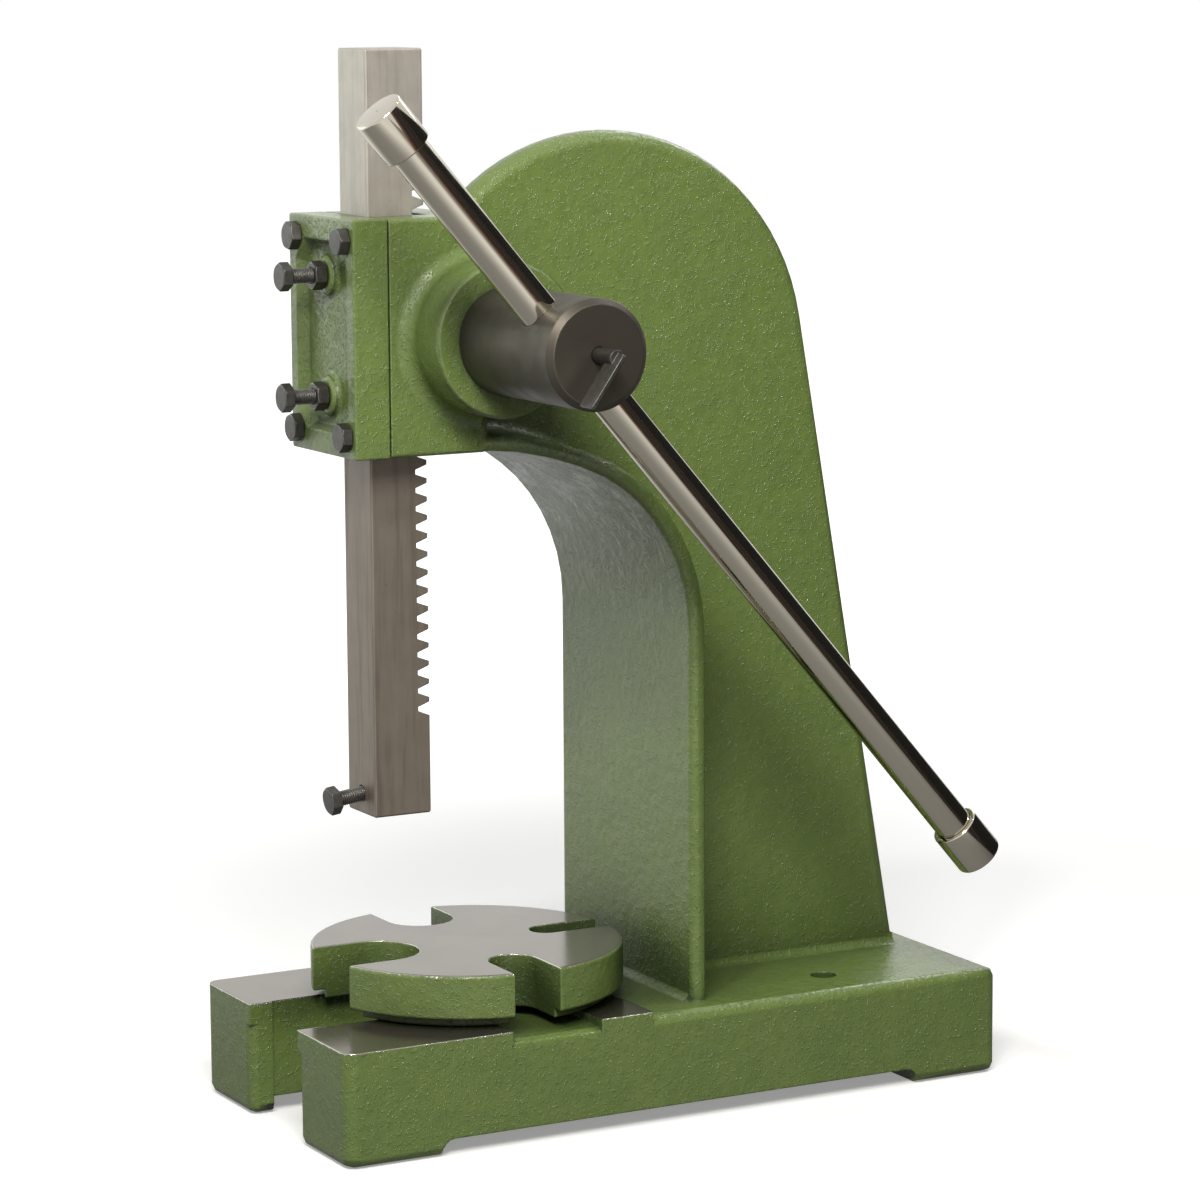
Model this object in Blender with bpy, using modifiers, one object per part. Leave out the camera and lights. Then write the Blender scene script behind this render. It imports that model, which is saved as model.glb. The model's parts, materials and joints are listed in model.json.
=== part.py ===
"""Arbor press with a rack and pinion: a cast C frame, a square ram with a rack, a pinion shaft with a hub,
a loose lever through the hub, and a turning work plate with four slots.

Metres, +Z up. Lengths are measured from the ram's axis, X towards the hub and Y towards the column.
The empty ram_axis carries every piece, and stands so that the part's origin is in the middle of the
rear foot's underside, on the bench.
"""

import math

import bmesh
import bpy
from mathutils import Matrix, Vector

# Clearances and cutters
GAP = 0.0003
OVERRUN = 0.006
MERGE_DISTANCE = 0.000001
ROUND_STEPS = 48
SMALL_STEPS = 24
SHARP_ANGLE = math.radians(35)

# Base casting
BASE_HALF_WIDTH = 0.088
BASE_FRONT = 0.068
BASE_REAR = 0.319
PAD_HEIGHT = 0.0595
PAINTED_DROP = 0.0022
STEP_DROP = 0.005
BASE_CORNER_RADIUS = 0.007
BASE_EDGE_RADIUS = 0.005
FOOT_RECESS = 0.0085
FRONT_FOOT_LENGTH = 0.053
REAR_FOOT_LENGTH = 0.051
FRONT_WALL = 0.013
RECESS_RADIUS = 0.007
FORK_HALF_WIDTH = 0.030
FORK_END = 0.020
FORK_CORNER_RADIUS = 0.012
FORK_RELIEF = 0.0012
LEG_PAD_END = 0.0255
REAR_PAD_START = 0.0765
REAR_PAD_LENGTH = 0.030
BOLT_HOLE_RADIUS = 0.007
BOLT_HOLE_X = 0.055
BOLT_HOLE_Y = 0.229

# Column and throat
WEB_HALF_THICKNESS = 0.010
WEB_EDGE_RADIUS = 0.0075
ARCH_RADIUS = 0.1204
ARCH_CENTRE_Y = 0.1253
ARCH_RISE = 0.039
COLUMN_REAR_FOOT_Y = 0.304
THROAT_FRONT_Y = 0.1385
THROAT_RADIUS = 0.096
FLANGE_THICKNESS = 0.009
FLANGE_HALF_WIDTH = 0.0727
CAST_RADIUS = 0.004
FLANGE_CROWN = 0.0025
FLARE_END_Y = 0.100

# Head, bosses and cover
HEAD_HALF_WIDTH = 0.0385
HEAD_REAR = 0.040
HEAD_BOTTOM_Z = 0.3485
HEAD_HEIGHT = 0.120
HEAD_EDGE_RADIUS = 0.0025
BOSS_RADIUS = 0.0395
BOSS_FACE_X = 0.070
BOSS_FILLET = 0.008
BOSS_EDGE = 0.0015
TAIL_BOSS_RADIUS = 0.030
TAIL_BOSS_FACE_X = 0.048
COVER_JOINT_Y = -0.0146
COVER_THICKNESS = 0.0195
COVER_EDGE_RADIUS = 0.0012
POCKET_HALF_WIDTH = 0.030
POCKET_MARGIN = 0.0115
POCKET_DEPTH = 0.0055
POCKET_CORNER = 0.010
POCKET_SLOPE = 0.003
POCKET_BOSS_RADIUS = 0.010
POCKET_BOSS_DROP = 0.0012
POCKET_BOSS_FILLET = 0.0025
COVER_BOLT_INSET_X = 0.0095
COVER_BOLT_INSET_Z = 0.011
COVER_BOLT_GRIP = 0.020
GIB_SCREW_SPREAD = 0.061
GIB_SCREW_REACH = 0.018
GIB_WIDTH = 0.024
GIB_THICKNESS = 0.006
GIB_LENGTH = 0.096
WEB_FILLET = 0.006

# Ram and rack
RAM_SIDE = 0.032
RAM_LENGTH = 0.391
RAM_NOSE_Z = 0.161
RAM_REAR_PLAY = 0.0015
RAM_CHAMFER = 0.0008
RACK_MODULE = 0.003
RACK_SPACES = 32
RACK_FIRST_SPACE = 0.0545
RACK_ANGLE = math.radians(20)
RACK_BACKLASH = 0.0004
TOOL_BORE_RADIUS = 0.008
TOOL_BORE_DEPTH = 0.034
RAM_SCREW_HEIGHT = 0.0104
RAM_SCREW_REACH = 0.014
RAM_SCREW_TILT = math.radians(8)

# Pinion shaft, hub and tail
PINION_TEETH = 15
PINION_RISE = 0.0595
JOURNAL_RADIUS = 0.0262
TAIL_RADIUS = 0.015
HUB_RADIUS = 0.0275
HUB_LENGTH = 0.0947
HUB_CHAMFER = 0.003
TAIL_WASHER_RADIUS = 0.021
TAIL_WASHER_THICKNESS = 0.005
TAIL_BOLT_REACH = 0.020

# Lever and its clamp screw
LEVER_X = 0.136
LEVER_RADIUS = 0.00975
LEVER_UPPER = 0.1556
LEVER_LOWER = 0.3645
LEVER_TILT = math.radians(49.1)
CAP_RADIUS = 0.0125
CAP_LENGTH = 0.024
CAP_EDGE = 0.0012
CAP_END_THICKNESS = 0.004
CLAMP_STUD_RADIUS = 0.004
CLAMP_STUD_REACH = 0.0182
CLAMP_BAR_WIDTH = 0.013
CLAMP_BAR_OVERHANG = 0.0055
CLAMP_BAR_LENGTH = 0.0277
CLAMP_BAR_RISE = 0.0025
CLAMP_BAR_THICKNESS = 0.002
CLAMP_BAR_TILT = math.radians(35.4)

# Work plate
PLATE_CENTRE_Y = 0.0435
PLATE_RADIUS = 0.082
PLATE_TOP_Z = 0.0874
PLATE_RING_HEIGHT = 0.0045
PLATE_RING_RADIUS = 0.075
PLATE_EDGE = 0.001
FRONT_SLOT_WIDTH = 0.045
LEFT_SLOT_WIDTH = 0.036
REAR_SLOT_WIDTH = 0.018
RIGHT_SLOT_WIDTH = 0.026
FRONT_SLOT_REACH = 0.0525
LEFT_SLOT_REACH = 0.0565
REAR_SLOT_REACH = 0.047
RIGHT_SLOT_REACH = 0.0535
PIVOT_RADIUS = 0.008
PIVOT_RISE = 0.012
PIVOT_DEPTH = 0.026

# M8 hexagon fasteners
THREAD_RADIUS = 0.004
HEX_FLATS = 0.013
HEX_HEIGHT = 0.0053
NUT_HEIGHT = 0.0065
HEX_CHAMFER = 0.0012

# Values that follow from the sizes above
RACK_PITCH = math.pi * RACK_MODULE
PITCH_RADIUS = PINION_TEETH * RACK_MODULE / 2
RAM_HALF = RAM_SIDE / 2
RACK_LINE_Y = RAM_HALF - RACK_MODULE
PINION_AXIS_Y = RACK_LINE_Y + PITCH_RADIUS
dedendum_share = 1.25
DEDENDUM = dedendum_share * RACK_MODULE
PINION_AXIS_Z = HEAD_BOTTOM_Z + PINION_RISE
HEAD_TOP_Z = HEAD_BOTTOM_Z + HEAD_HEIGHT
ARCH_CENTRE_Z = HEAD_BOTTOM_Z + ARCH_RISE
COVER_BACK_Y = COVER_JOINT_Y - GAP
COVER_FRONT_Y = COVER_BACK_Y - COVER_THICKNESS
PAINTED_Z = PAD_HEIGHT - PAINTED_DROP
STEP_Z = PAD_HEIGHT - STEP_DROP
REAR_PAD_END = REAR_PAD_START + REAR_PAD_LENGTH
REAR_FOOT_Y = BASE_REAR - REAR_FOOT_LENGTH / 2
THROAT_CENTRE_Y = THROAT_FRONT_Y - THROAT_RADIUS
THROAT_CENTRE_Z = HEAD_BOTTOM_Z - THROAT_RADIUS
HUB_START_X = BOSS_FACE_X + GAP
HUB_END_X = HUB_START_X + HUB_LENGTH
PLATE_BOTTOM_Z = PAD_HEIGHT + GAP + PLATE_RING_HEIGHT
HEX_RADIUS = HEX_FLATS / math.sqrt(3)

AXIS_X = Matrix.Rotation(math.pi / 2, 4, "Y")
AXIS_FRONT = Matrix.Rotation(math.pi / 2, 4, "X")
AXIS_UP = Matrix.Identity(4)
SIDE_PLANE = Matrix(((0, 0, 1, 0), (1, 0, 0, 0), (0, 1, 0, 0), (0, 0, 0, 1)))
FRONT_PLANE = Matrix(((1, 0, 0, 0), (0, 0, -1, 0), (0, 1, 0, 0), (0, 0, 0, 1)))


def start_scene():
    """Clears the scene, and makes the two collections and the empty on the ram's axis."""
    for old in list(bpy.data.objects):
        bpy.data.objects.remove(old, do_unlink=True)
    scene = bpy.context.scene
    parts = bpy.data.collections.new("arbor_press")
    cutters = bpy.data.collections.new("cutters")
    scene.collection.children.link(parts)
    scene.collection.children.link(cutters)
    axis = bpy.data.objects.new("ram_axis", None)
    axis.location = (0, -REAR_FOOT_Y, 0)
    scene.collection.objects.link(axis)
    return parts, cutters, axis


PARTS, CUTTERS, RAM_AXIS = start_scene()


def material(name, colour, roughness, metallic):
    made = bpy.data.materials.new(name)
    made.use_nodes = True
    shader = made.node_tree.nodes["Principled BSDF"]
    shader.inputs["Base Color"].default_value = (*colour, 1)
    shader.inputs["Roughness"].default_value = roughness
    shader.inputs["Metallic"].default_value = metallic
    made.diffuse_color = (*colour, 1)
    return made


GREEN_PAINT = material("green_paint", (0.135, 0.205, 0.065), 0.4, 0)
GROUND_STEEL = material("ground_steel", (0.36, 0.33, 0.29), 0.4, 1)
BLACK_STEEL = material("black_steel", (0.06, 0.055, 0.05), 0.45, 0.8)
FASTENER_STEEL = material("fastener_steel", (0.075, 0.07, 0.068), 0.4, 0.8)
PLATE_IRON = material("plate_iron", (0.34, 0.32, 0.29), 0.5, 1)
CHROME = material("chrome", (0.75, 0.72, 0.66), 0.12, 1)


def as_piece(obj, finish):
    """Makes the object one of the press's pieces."""
    CUTTERS.objects.unlink(obj)
    PARTS.objects.link(obj)
    obj.hide_render = False
    obj.display_type = "TEXTURED"
    obj.data.materials.append(finish)
    return obj


def helper(name, mesh):
    """A mesh that cuts or joins, carried by the ram's axis, until as_piece makes it a piece."""
    obj = bpy.data.objects.new(name, mesh)
    CUTTERS.objects.link(obj)
    obj.parent = RAM_AXIS
    obj.hide_render = True
    obj.display_type = "WIRE"
    return obj


def from_bmesh(name, bm):
    mesh = bpy.data.meshes.new(name)
    bm.to_mesh(mesh)
    bm.free()
    mesh.shade_smooth()
    mesh.set_sharp_from_angle(angle=SHARP_ANGLE)
    return helper(name, mesh)


def box(name, low, high):
    low, high = Vector(low), Vector(high)
    bm = bmesh.new()
    bmesh.ops.create_cube(bm, size=1)
    size = Matrix.Diagonal((*(high - low), 1))
    bmesh.ops.transform(bm, matrix=Matrix.Translation((low + high) / 2) @ size, verts=bm.verts)
    return from_bmesh(name, bm)


def rod(name, radius, low, high, centre, axis=AXIS_UP, steps=SMALL_STEPS):
    """A cylinder from low to high along the axis through the centre."""
    bm = bmesh.new()
    depth = high - low
    bmesh.ops.create_cone(bm, cap_ends=True, segments=steps, radius1=radius, radius2=radius, depth=depth)
    shift = Matrix.Translation((0, 0, (low + high) / 2))
    bmesh.ops.transform(bm, matrix=Matrix.Translation(centre) @ axis @ shift, verts=bm.verts)
    return from_bmesh(name, bm)


def turned(name, profile, centre, axis=AXIS_UP, steps=ROUND_STEPS):
    """A turned piece: profile holds (radius, station) from its far end to its near end."""
    mesh = bpy.data.meshes.new(name)
    points = [(radius, 0, station) for radius, station in profile]
    mesh.from_pydata(points, [(i, i + 1) for i in range(len(points) - 1)], [])
    obj = helper(name, mesh)
    obj.matrix_local = Matrix.Translation(centre) @ axis
    screw = obj.modifiers.new("turn", "SCREW")
    screw.steps = steps
    screw.render_steps = steps
    screw.use_merge_vertices = True
    screw.merge_threshold = MERGE_DISTANCE
    screw.use_smooth_shade = True
    return obj


def arc(centre, radius, start, end, steps):
    """Points of an arc in a plane, from one angle to the other, both ends included."""
    angles = [start + (end - start) * i / steps for i in range(steps + 1)]
    return [(centre[0] + radius * math.cos(a), centre[1] + radius * math.sin(a)) for a in angles]


def rounded(corners, steps=4):
    """Points of an outline: each corner is (x, y, radius), and its fillet touches both sides."""
    points = []
    for i, (x, y, radius) in enumerate(corners):
        here = Vector((x, y))
        before = (Vector(corners[i - 1][:2]) - here).normalized()
        after = (Vector(corners[(i + 1) % len(corners)][:2]) - here).normalized()
        if not radius:
            points.append((x, y))
            continue
        half = before.angle(after) / 2
        centre = here + (before + after).normalized() * radius / math.sin(half)
        first = here + before * radius / math.tan(half) - centre
        sweep = -first.angle_signed(here + after * radius / math.tan(half) - centre)
        start = math.atan2(first.y, first.x)
        points += arc(centre, radius, start, start + sweep, steps)
    return points


def slab(name, outline, low, high, plane=AXIS_UP):
    """A flat outline carried from low to high along the normal of its plane, as one welded mesh."""
    curve = bpy.data.curves.new(name, "CURVE")
    curve.dimensions = "2D"
    curve.fill_mode = "BOTH"
    curve.extrude = (high - low) / 2
    spline = curve.splines.new("POLY")
    spline.points.add(len(outline) - 1)
    spline.use_cyclic_u = True
    for point, (x, y) in zip(spline.points, outline):
        point.co = (x, y, 0, 1)
    drawn = bpy.data.objects.new(name, curve)
    CUTTERS.objects.link(drawn)
    bpy.context.view_layer.update()
    graph = bpy.context.evaluated_depsgraph_get()
    mesh = bpy.data.meshes.new_from_object(drawn.evaluated_get(graph))
    bpy.data.objects.remove(drawn, do_unlink=True)
    bm = bmesh.new()
    bm.from_mesh(mesh)
    bpy.data.meshes.remove(mesh)
    bmesh.ops.remove_doubles(bm, verts=bm.verts, dist=MERGE_DISTANCE)
    bmesh.ops.dissolve_limit(bm, angle_limit=math.radians(0.5), verts=bm.verts, edges=bm.edges)
    bmesh.ops.transform(bm, matrix=plane @ Matrix.Translation((0, 0, (low + high) / 2)), verts=bm.verts)
    bmesh.ops.recalc_face_normals(bm, faces=bm.faces)
    return from_bmesh(name, bm)


def boolean(target, other, operation):
    step = target.modifiers.new(other.name, "BOOLEAN")
    step.operation = operation
    step.object = other
    return target


def join(target, *others):
    for other in others:
        boolean(target, other, "UNION")
    return target


def cut(target, *others):
    for other in others:
        boolean(target, other, "DIFFERENCE")
    return target


def keep(target, other):
    return boolean(target, other, "INTERSECT")


def manifold_steps(target):
    """For castings, whose fillets meet flat faces at glancing angles that the exact solver leaves open."""
    for step in target.modifiers:
        if step.type == "BOOLEAN":
            step.solver = "MANIFOLD"
    return target


def round_edges(target, width, segments=2, angle=math.radians(50)):
    bevel = target.modifiers.new("rounded_edges", "BEVEL")
    bevel.width = width
    bevel.segments = segments
    bevel.limit_method = "ANGLE"
    bevel.angle_limit = angle
    bevel.use_clamp_overlap = True
    return target


def base_outline():
    """The base from above: a rectangle with a fork at its front."""
    side, front, rear, fork = BASE_HALF_WIDTH, -BASE_FRONT, BASE_REAR, FORK_HALF_WIDTH
    return rounded([
        (side, front, BASE_CORNER_RADIUS),
        (side, rear, BASE_CORNER_RADIUS),
        (-side, rear, BASE_CORNER_RADIUS),
        (-side, front, BASE_CORNER_RADIUS),
        (-fork, front, 0),
        (-fork, FORK_END, FORK_CORNER_RADIUS),
        (fork, FORK_END, FORK_CORNER_RADIUS),
        (fork, front, 0),
    ])


def web_outline():
    """The column's plate from the side: an arch on a leaning rear edge, down into the base."""
    centre = Vector((ARCH_CENTRE_Y, ARCH_CENTRE_Z))
    foot = Vector((COLUMN_REAR_FOOT_Y, PAINTED_Z))
    to_foot = foot - centre
    lean = math.atan2(to_foot.y, to_foot.x) + math.acos(ARCH_RADIUS / to_foot.length)
    touch = centre + ARCH_RADIUS * Vector((math.cos(lean), math.sin(lean)))
    drop = (touch - foot).normalized() * OVERRUN
    rise = HEAD_TOP_Z - OVERRUN - ARCH_CENTRE_Z
    front_angle = math.pi - math.asin(rise / ARCH_RADIUS)
    inner = THROAT_RADIUS + FLANGE_THICKNESS / 2
    throat = (THROAT_CENTRE_Y, THROAT_CENTRE_Z)
    points = [tuple(foot - drop)]
    points += arc(centre, ARCH_RADIUS, lean, front_angle, 28)
    points.append((points[-1][0], THROAT_CENTRE_Z + inner))
    points += arc(throat, inner, math.pi / 2, 0, 10)
    points.append((THROAT_CENTRE_Y + inner, PAINTED_Z - OVERRUN))
    return points


def loft(name, rings):
    """A closed skin over rings of as many points each, with a face over the first ring and the last."""
    bm = bmesh.new()
    rows = [[bm.verts.new(point) for point in ring] for ring in rings]
    count = len(rows[0])
    for lower, upper in zip(rows, rows[1:]):
        for i in range(count):
            after = (i + 1) % count
            bm.faces.new((lower[i], lower[after], upper[after], upper[i]))
    bm.faces.new(rows[0])
    bm.faces.new(rows[-1])
    bmesh.ops.recalc_face_normals(bm, faces=bm.faces)
    return from_bmesh(name, bm)


def flange_section(half_width, crown):
    """Half of the flange, as (x, depth): crowned face, round edge, back, and fillet to the web."""
    edge, thick, web = CAST_RADIUS, FLANGE_THICKNESS, WEB_HALF_THICKNESS
    right = math.pi / 2
    points = [(0, -crown)]
    points += arc((half_width - edge, edge), edge, -right, 0, 3)
    points += arc((half_width - edge, thick - edge), edge, 0, right, 3)
    points += arc((web + WEB_FILLET, thick + WEB_FILLET), WEB_FILLET, -right, -2 * right, 3)
    return points


def throat_flange():
    """The band along the throat: upright before the column, then a quarter turn, narrower at the head."""
    turn_steps = 12
    stations = [(0, z) for z in (PAINTED_Z - OVERRUN, THROAT_CENTRE_Z)]
    stations += [(math.pi / 2 * (i + 1) / turn_steps, THROAT_CENTRE_Z) for i in range(turn_steps)]
    rings = []
    for turn, base_z in stations:
        y = THROAT_CENTRE_Y + THROAT_RADIUS * math.cos(turn)
        share = min(max((y - HEAD_REAR) / (FLARE_END_Y - HEAD_REAR), 0), 1)
        widening = (1 - math.cos(math.pi * share)) / 2
        half_width = HEAD_HALF_WIDTH + (FLANGE_HALF_WIDTH - HEAD_HALF_WIDTH) * widening
        half = flange_section(half_width, FLANGE_CROWN * math.sin(2 * turn))
        section = half + [(-x, depth) for x, depth in half[:0:-1]]
        ring = []
        for x, depth in section:
            radius = THROAT_RADIUS + depth
            ring.append((x, THROAT_CENTRE_Y + radius * math.cos(turn), base_z + radius * math.sin(turn)))
        rings.append(ring)
    rings.append([(x, HEAD_REAR - OVERRUN, z) for x, y, z in rings[-1]])
    return loft("throat_flange", rings)


def fillet_bar(name, low, high, plane, radius, corner, across, up):
    """A bar with one hollow side that fills the corner between two faces, from low to high along it."""
    x, y = corner[0] - across * GAP, corner[1] - up * GAP
    quarter = arc((0, 0), radius, 0, math.pi / 2, 4)
    hollow = [(x + across * (radius - px), y + up * (radius - py)) for px, py in quarter]
    inside = radius / 2
    foot = (x + across * radius, y - up * inside)
    back = (x - across * inside, y + up * radius)
    outline = hollow + [foot, (back[0], foot[1]), back]
    return slab(name, outline, low, high, plane)


def column_fillets():
    """Fillets at the column's foot and behind the head, on both sides."""
    web, radius = WEB_HALF_THICKNESS, WEB_FILLET
    rear = COLUMN_REAR_FOOT_Y - radius / 2
    fillets = []
    for name, side in (("right", 1), ("left", -1)):
        corner = (side * web, PAINTED_Z)
        low, high = -rear, -THROAT_FRONT_Y - FLANGE_THICKNESS / 2
        fillets.append(fillet_bar(f"{name}_foot_fillet", low, high, FRONT_PLANE, radius, corner, side, 1))
        corner = (side * web, HEAD_REAR)
        low, high = HEAD_BOTTOM_Z + FLANGE_THICKNESS / 2, HEAD_TOP_Z - CAST_RADIUS
        fillets.append(fillet_bar(f"{name}_head_fillet", low, high, AXIS_UP, radius, corner, side, 1))
    wide = FLANGE_HALF_WIDTH - CAST_RADIUS
    corner = (THROAT_FRONT_Y, PAINTED_Z)
    fillets.append(fillet_bar("throat_foot_fillet", -wide, wide, SIDE_PLANE, radius, corner, -1, 1))
    return fillets


def boss(name, radius, start, reach, centre, axis):
    """A round boss from where it starts, inside what carries it, out to its machined face."""
    edge = BOSS_EDGE
    profile = [(0, reach), (radius - edge, reach), (radius, reach - edge), (radius, start), (0, start)]
    return turned(name, profile, centre, axis)


def boss_foot(name, radius, fillet, start, centre, axis):
    """The hollow fillet round a boss where it leaves a face at the start."""
    curve = arc((radius + fillet, start + fillet), fillet, math.pi, math.pi * 3 / 2, 4)
    inner = radius - BOSS_EDGE
    profile = [(0, start + fillet), (inner, start + fillet)] + curve
    profile += [(radius + fillet, start - BOSS_EDGE), (0, start - BOSS_EDGE)]
    return turned(name, profile, centre, axis)


def base_pieces():
    """The base up to the step under the plate, the higher part behind it, and the machined pads."""
    base = round_edges(slab("frame_casting", base_outline(), 0, STEP_Z), BASE_EDGE_RADIUS)
    rear_base = round_edges(slab("rear_base", base_outline(), 0, PAINTED_Z), BASE_EDGE_RADIUS)
    low, wide = STEP_Z - OVERRUN, BASE_HALF_WIDTH + OVERRUN
    legs, rear = (slab(name, base_outline(), low, PAD_HEIGHT) for name in ("leg_pads", "rear_pads"))
    for piece, start, end in (
        (rear_base, REAR_PAD_START, BASE_REAR + OVERRUN),
        (legs, -BASE_FRONT - OVERRUN, LEG_PAD_END),
        (rear, REAR_PAD_START, REAR_PAD_END),
    ):
        keep(piece, box(f"{piece.name}_reach", (-wide, start, -OVERRUN), (wide, end, PAD_HEIGHT + OVERRUN)))
    middle = (FORK_HALF_WIDTH, REAR_PAD_END + OVERRUN, PAD_HEIGHT + OVERRUN)
    cut(rear, box("between_rear_pads", (-FORK_HALF_WIDTH, FORK_END, 0), middle))
    return base, rear_base, legs, rear


def foot_recess():
    """The low arch under the base, between its feet."""
    front, rear = FRONT_FOOT_LENGTH - BASE_FRONT, BASE_REAR - REAR_FOOT_LENGTH
    outline = rounded([
        (front, -OVERRUN, 0),
        (rear, -OVERRUN, 0),
        (rear, FOOT_RECESS, RECESS_RADIUS),
        (front, FOOT_RECESS, RECESS_RADIUS),
    ])
    wide = BASE_HALF_WIDTH + OVERRUN
    return slab("foot_recess", outline, -wide, wide, SIDE_PLANE)


def fork_cuts():
    """Behind the front wall of both legs: the hollow under their feet, and the fork's wider inner sides."""
    front = FRONT_WALL - BASE_FRONT
    wide, rear = BASE_HALF_WIDTH - FRONT_WALL, FRONT_FOOT_LENGTH - BASE_FRONT + RECESS_RADIUS
    hollow = box("foot_hollow", (-wide, front, -OVERRUN), (wide, rear, FOOT_RECESS))
    wide, rear = FORK_HALF_WIDTH + FORK_RELIEF, FORK_END + FORK_RELIEF
    radius = FORK_CORNER_RADIUS
    outline = rounded([(wide, rear, radius), (-wide, rear, radius), (-wide, front, 0), (wide, front, 0)])
    return hollow, slab("fork_relief", outline, -OVERRUN, PAD_HEIGHT + OVERRUN)


def cover_bolt_places():
    """Where the four cover bolts stand, as (x, z)."""
    x = HEAD_HALF_WIDTH - COVER_BOLT_INSET_X
    low, high = HEAD_BOTTOM_Z + COVER_BOLT_INSET_Z, HEAD_TOP_Z - COVER_BOLT_INSET_Z
    return [(-x, high), (x, high), (-x, low), (x, low)]


def frame_casting():
    """Base, column, throat flange, head and bosses as one casting, and then what is machined in it."""
    frame, *others = base_pieces()
    web = slab("web", web_outline(), -WEB_HALF_THICKNESS, WEB_HALF_THICKNESS, SIDE_PLANE)
    low = (-HEAD_HALF_WIDTH, COVER_JOINT_Y - OVERRUN, HEAD_BOTTOM_Z)
    head = box("head", low, (HEAD_HALF_WIDTH, HEAD_REAR, HEAD_TOP_Z))
    join(frame, *others, round_edges(web, WEB_EDGE_RADIUS), throat_flange())
    join(frame, round_edges(head, HEAD_EDGE_RADIUS), *column_fillets())
    left = AXIS_X.inverted()
    axis = (0, PINION_AXIS_Y, PINION_AXIS_Z)
    foot = boss_foot("boss_foot", BOSS_RADIUS, BOSS_FILLET, HEAD_HALF_WIDTH, axis, AXIS_X)
    head_side = (BOSS_FACE_X, HEAD_REAR - CAST_RADIUS, HEAD_TOP_Z)
    keep(foot, box("head_side", (0, COVER_JOINT_Y, HEAD_BOTTOM_Z), head_side))
    join(frame, foot, boss("hub_boss", BOSS_RADIUS, 0, BOSS_FACE_X, axis, AXIS_X))
    join(frame, boss("tail_boss", TAIL_BOSS_RADIUS, 0, TAIL_BOSS_FACE_X, axis, left))

    half, side = RAM_HALF + GAP, BASE_HALF_WIDTH
    below, above = HEAD_BOTTOM_Z - OVERRUN, HEAD_TOP_Z + OVERRUN
    joint = box("joint_face", (-side, COVER_FRONT_Y, below), (side, COVER_JOINT_Y, above))
    channel = box("ram_channel", (-half, COVER_FRONT_Y, below), (half, RAM_HALF + RAM_REAR_PLAY, above))
    right, left_end = BOSS_FACE_X + OVERRUN, -TAIL_BOSS_FACE_X - OVERRUN
    journal = rod("journal_bore", JOURNAL_RADIUS + GAP, -half, right, axis, AXIS_X, ROUND_STEPS)
    tail = rod("tail_bore", TAIL_RADIUS + GAP, left_end, 0, axis, AXIS_X, ROUND_STEPS)
    pivot = (0, PLATE_CENTRE_Y, 0)
    pin = rod("pivot_hole", PIVOT_RADIUS + GAP, STEP_Z - PIVOT_DEPTH, PAD_HEIGHT, pivot)
    cut(frame, foot_recess(), *fork_cuts(), joint, channel, journal, tail, pin)
    for number, (x, z) in enumerate(cover_bolt_places(), start=1):
        place = (x, COVER_JOINT_Y, z)
        name, wide = f"head_hole_{number}", THREAD_RADIUS + GAP
        cut(frame, rod(name, wide, -COVER_BOLT_GRIP, OVERRUN, place, AXIS_FRONT))
    for name, x in (("base_hole_left", -BOLT_HOLE_X), ("base_hole_right", BOLT_HOLE_X)):
        cut(frame, rod(name, BOLT_HOLE_RADIUS, -OVERRUN, PAD_HEIGHT, (x, BOLT_HOLE_Y, 0)))
    return as_piece(manifold_steps(frame), GREEN_PAINT)


def gib_screw_places():
    middle = (HEAD_BOTTOM_Z + HEAD_TOP_Z) / 2
    return {"upper": middle + GIB_SCREW_SPREAD / 2, "lower": middle - GIB_SCREW_SPREAD / 2}


def pocket_ring(inset, y):
    """The cover's pocket at one depth: a rectangle with its corners cut off, smaller by the inset."""
    middle = (HEAD_BOTTOM_Z + HEAD_TOP_Z) / 2
    wide, high = POCKET_HALF_WIDTH - inset, HEAD_HEIGHT / 2 - POCKET_MARGIN - inset
    corner = POCKET_CORNER
    outline = []
    for right, up in ((1, 1), (-1, 1), (-1, -1), (1, -1)):
        ends = [(right * wide, up * (high - corner)), (right * (wide - corner), up * high)]
        outline += ends if right * up > 0 else ends[::-1]
    return [(x, y, middle + z) for x, z in rounded([(x, z, corner / 4) for x, z in outline], 2)]


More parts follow.
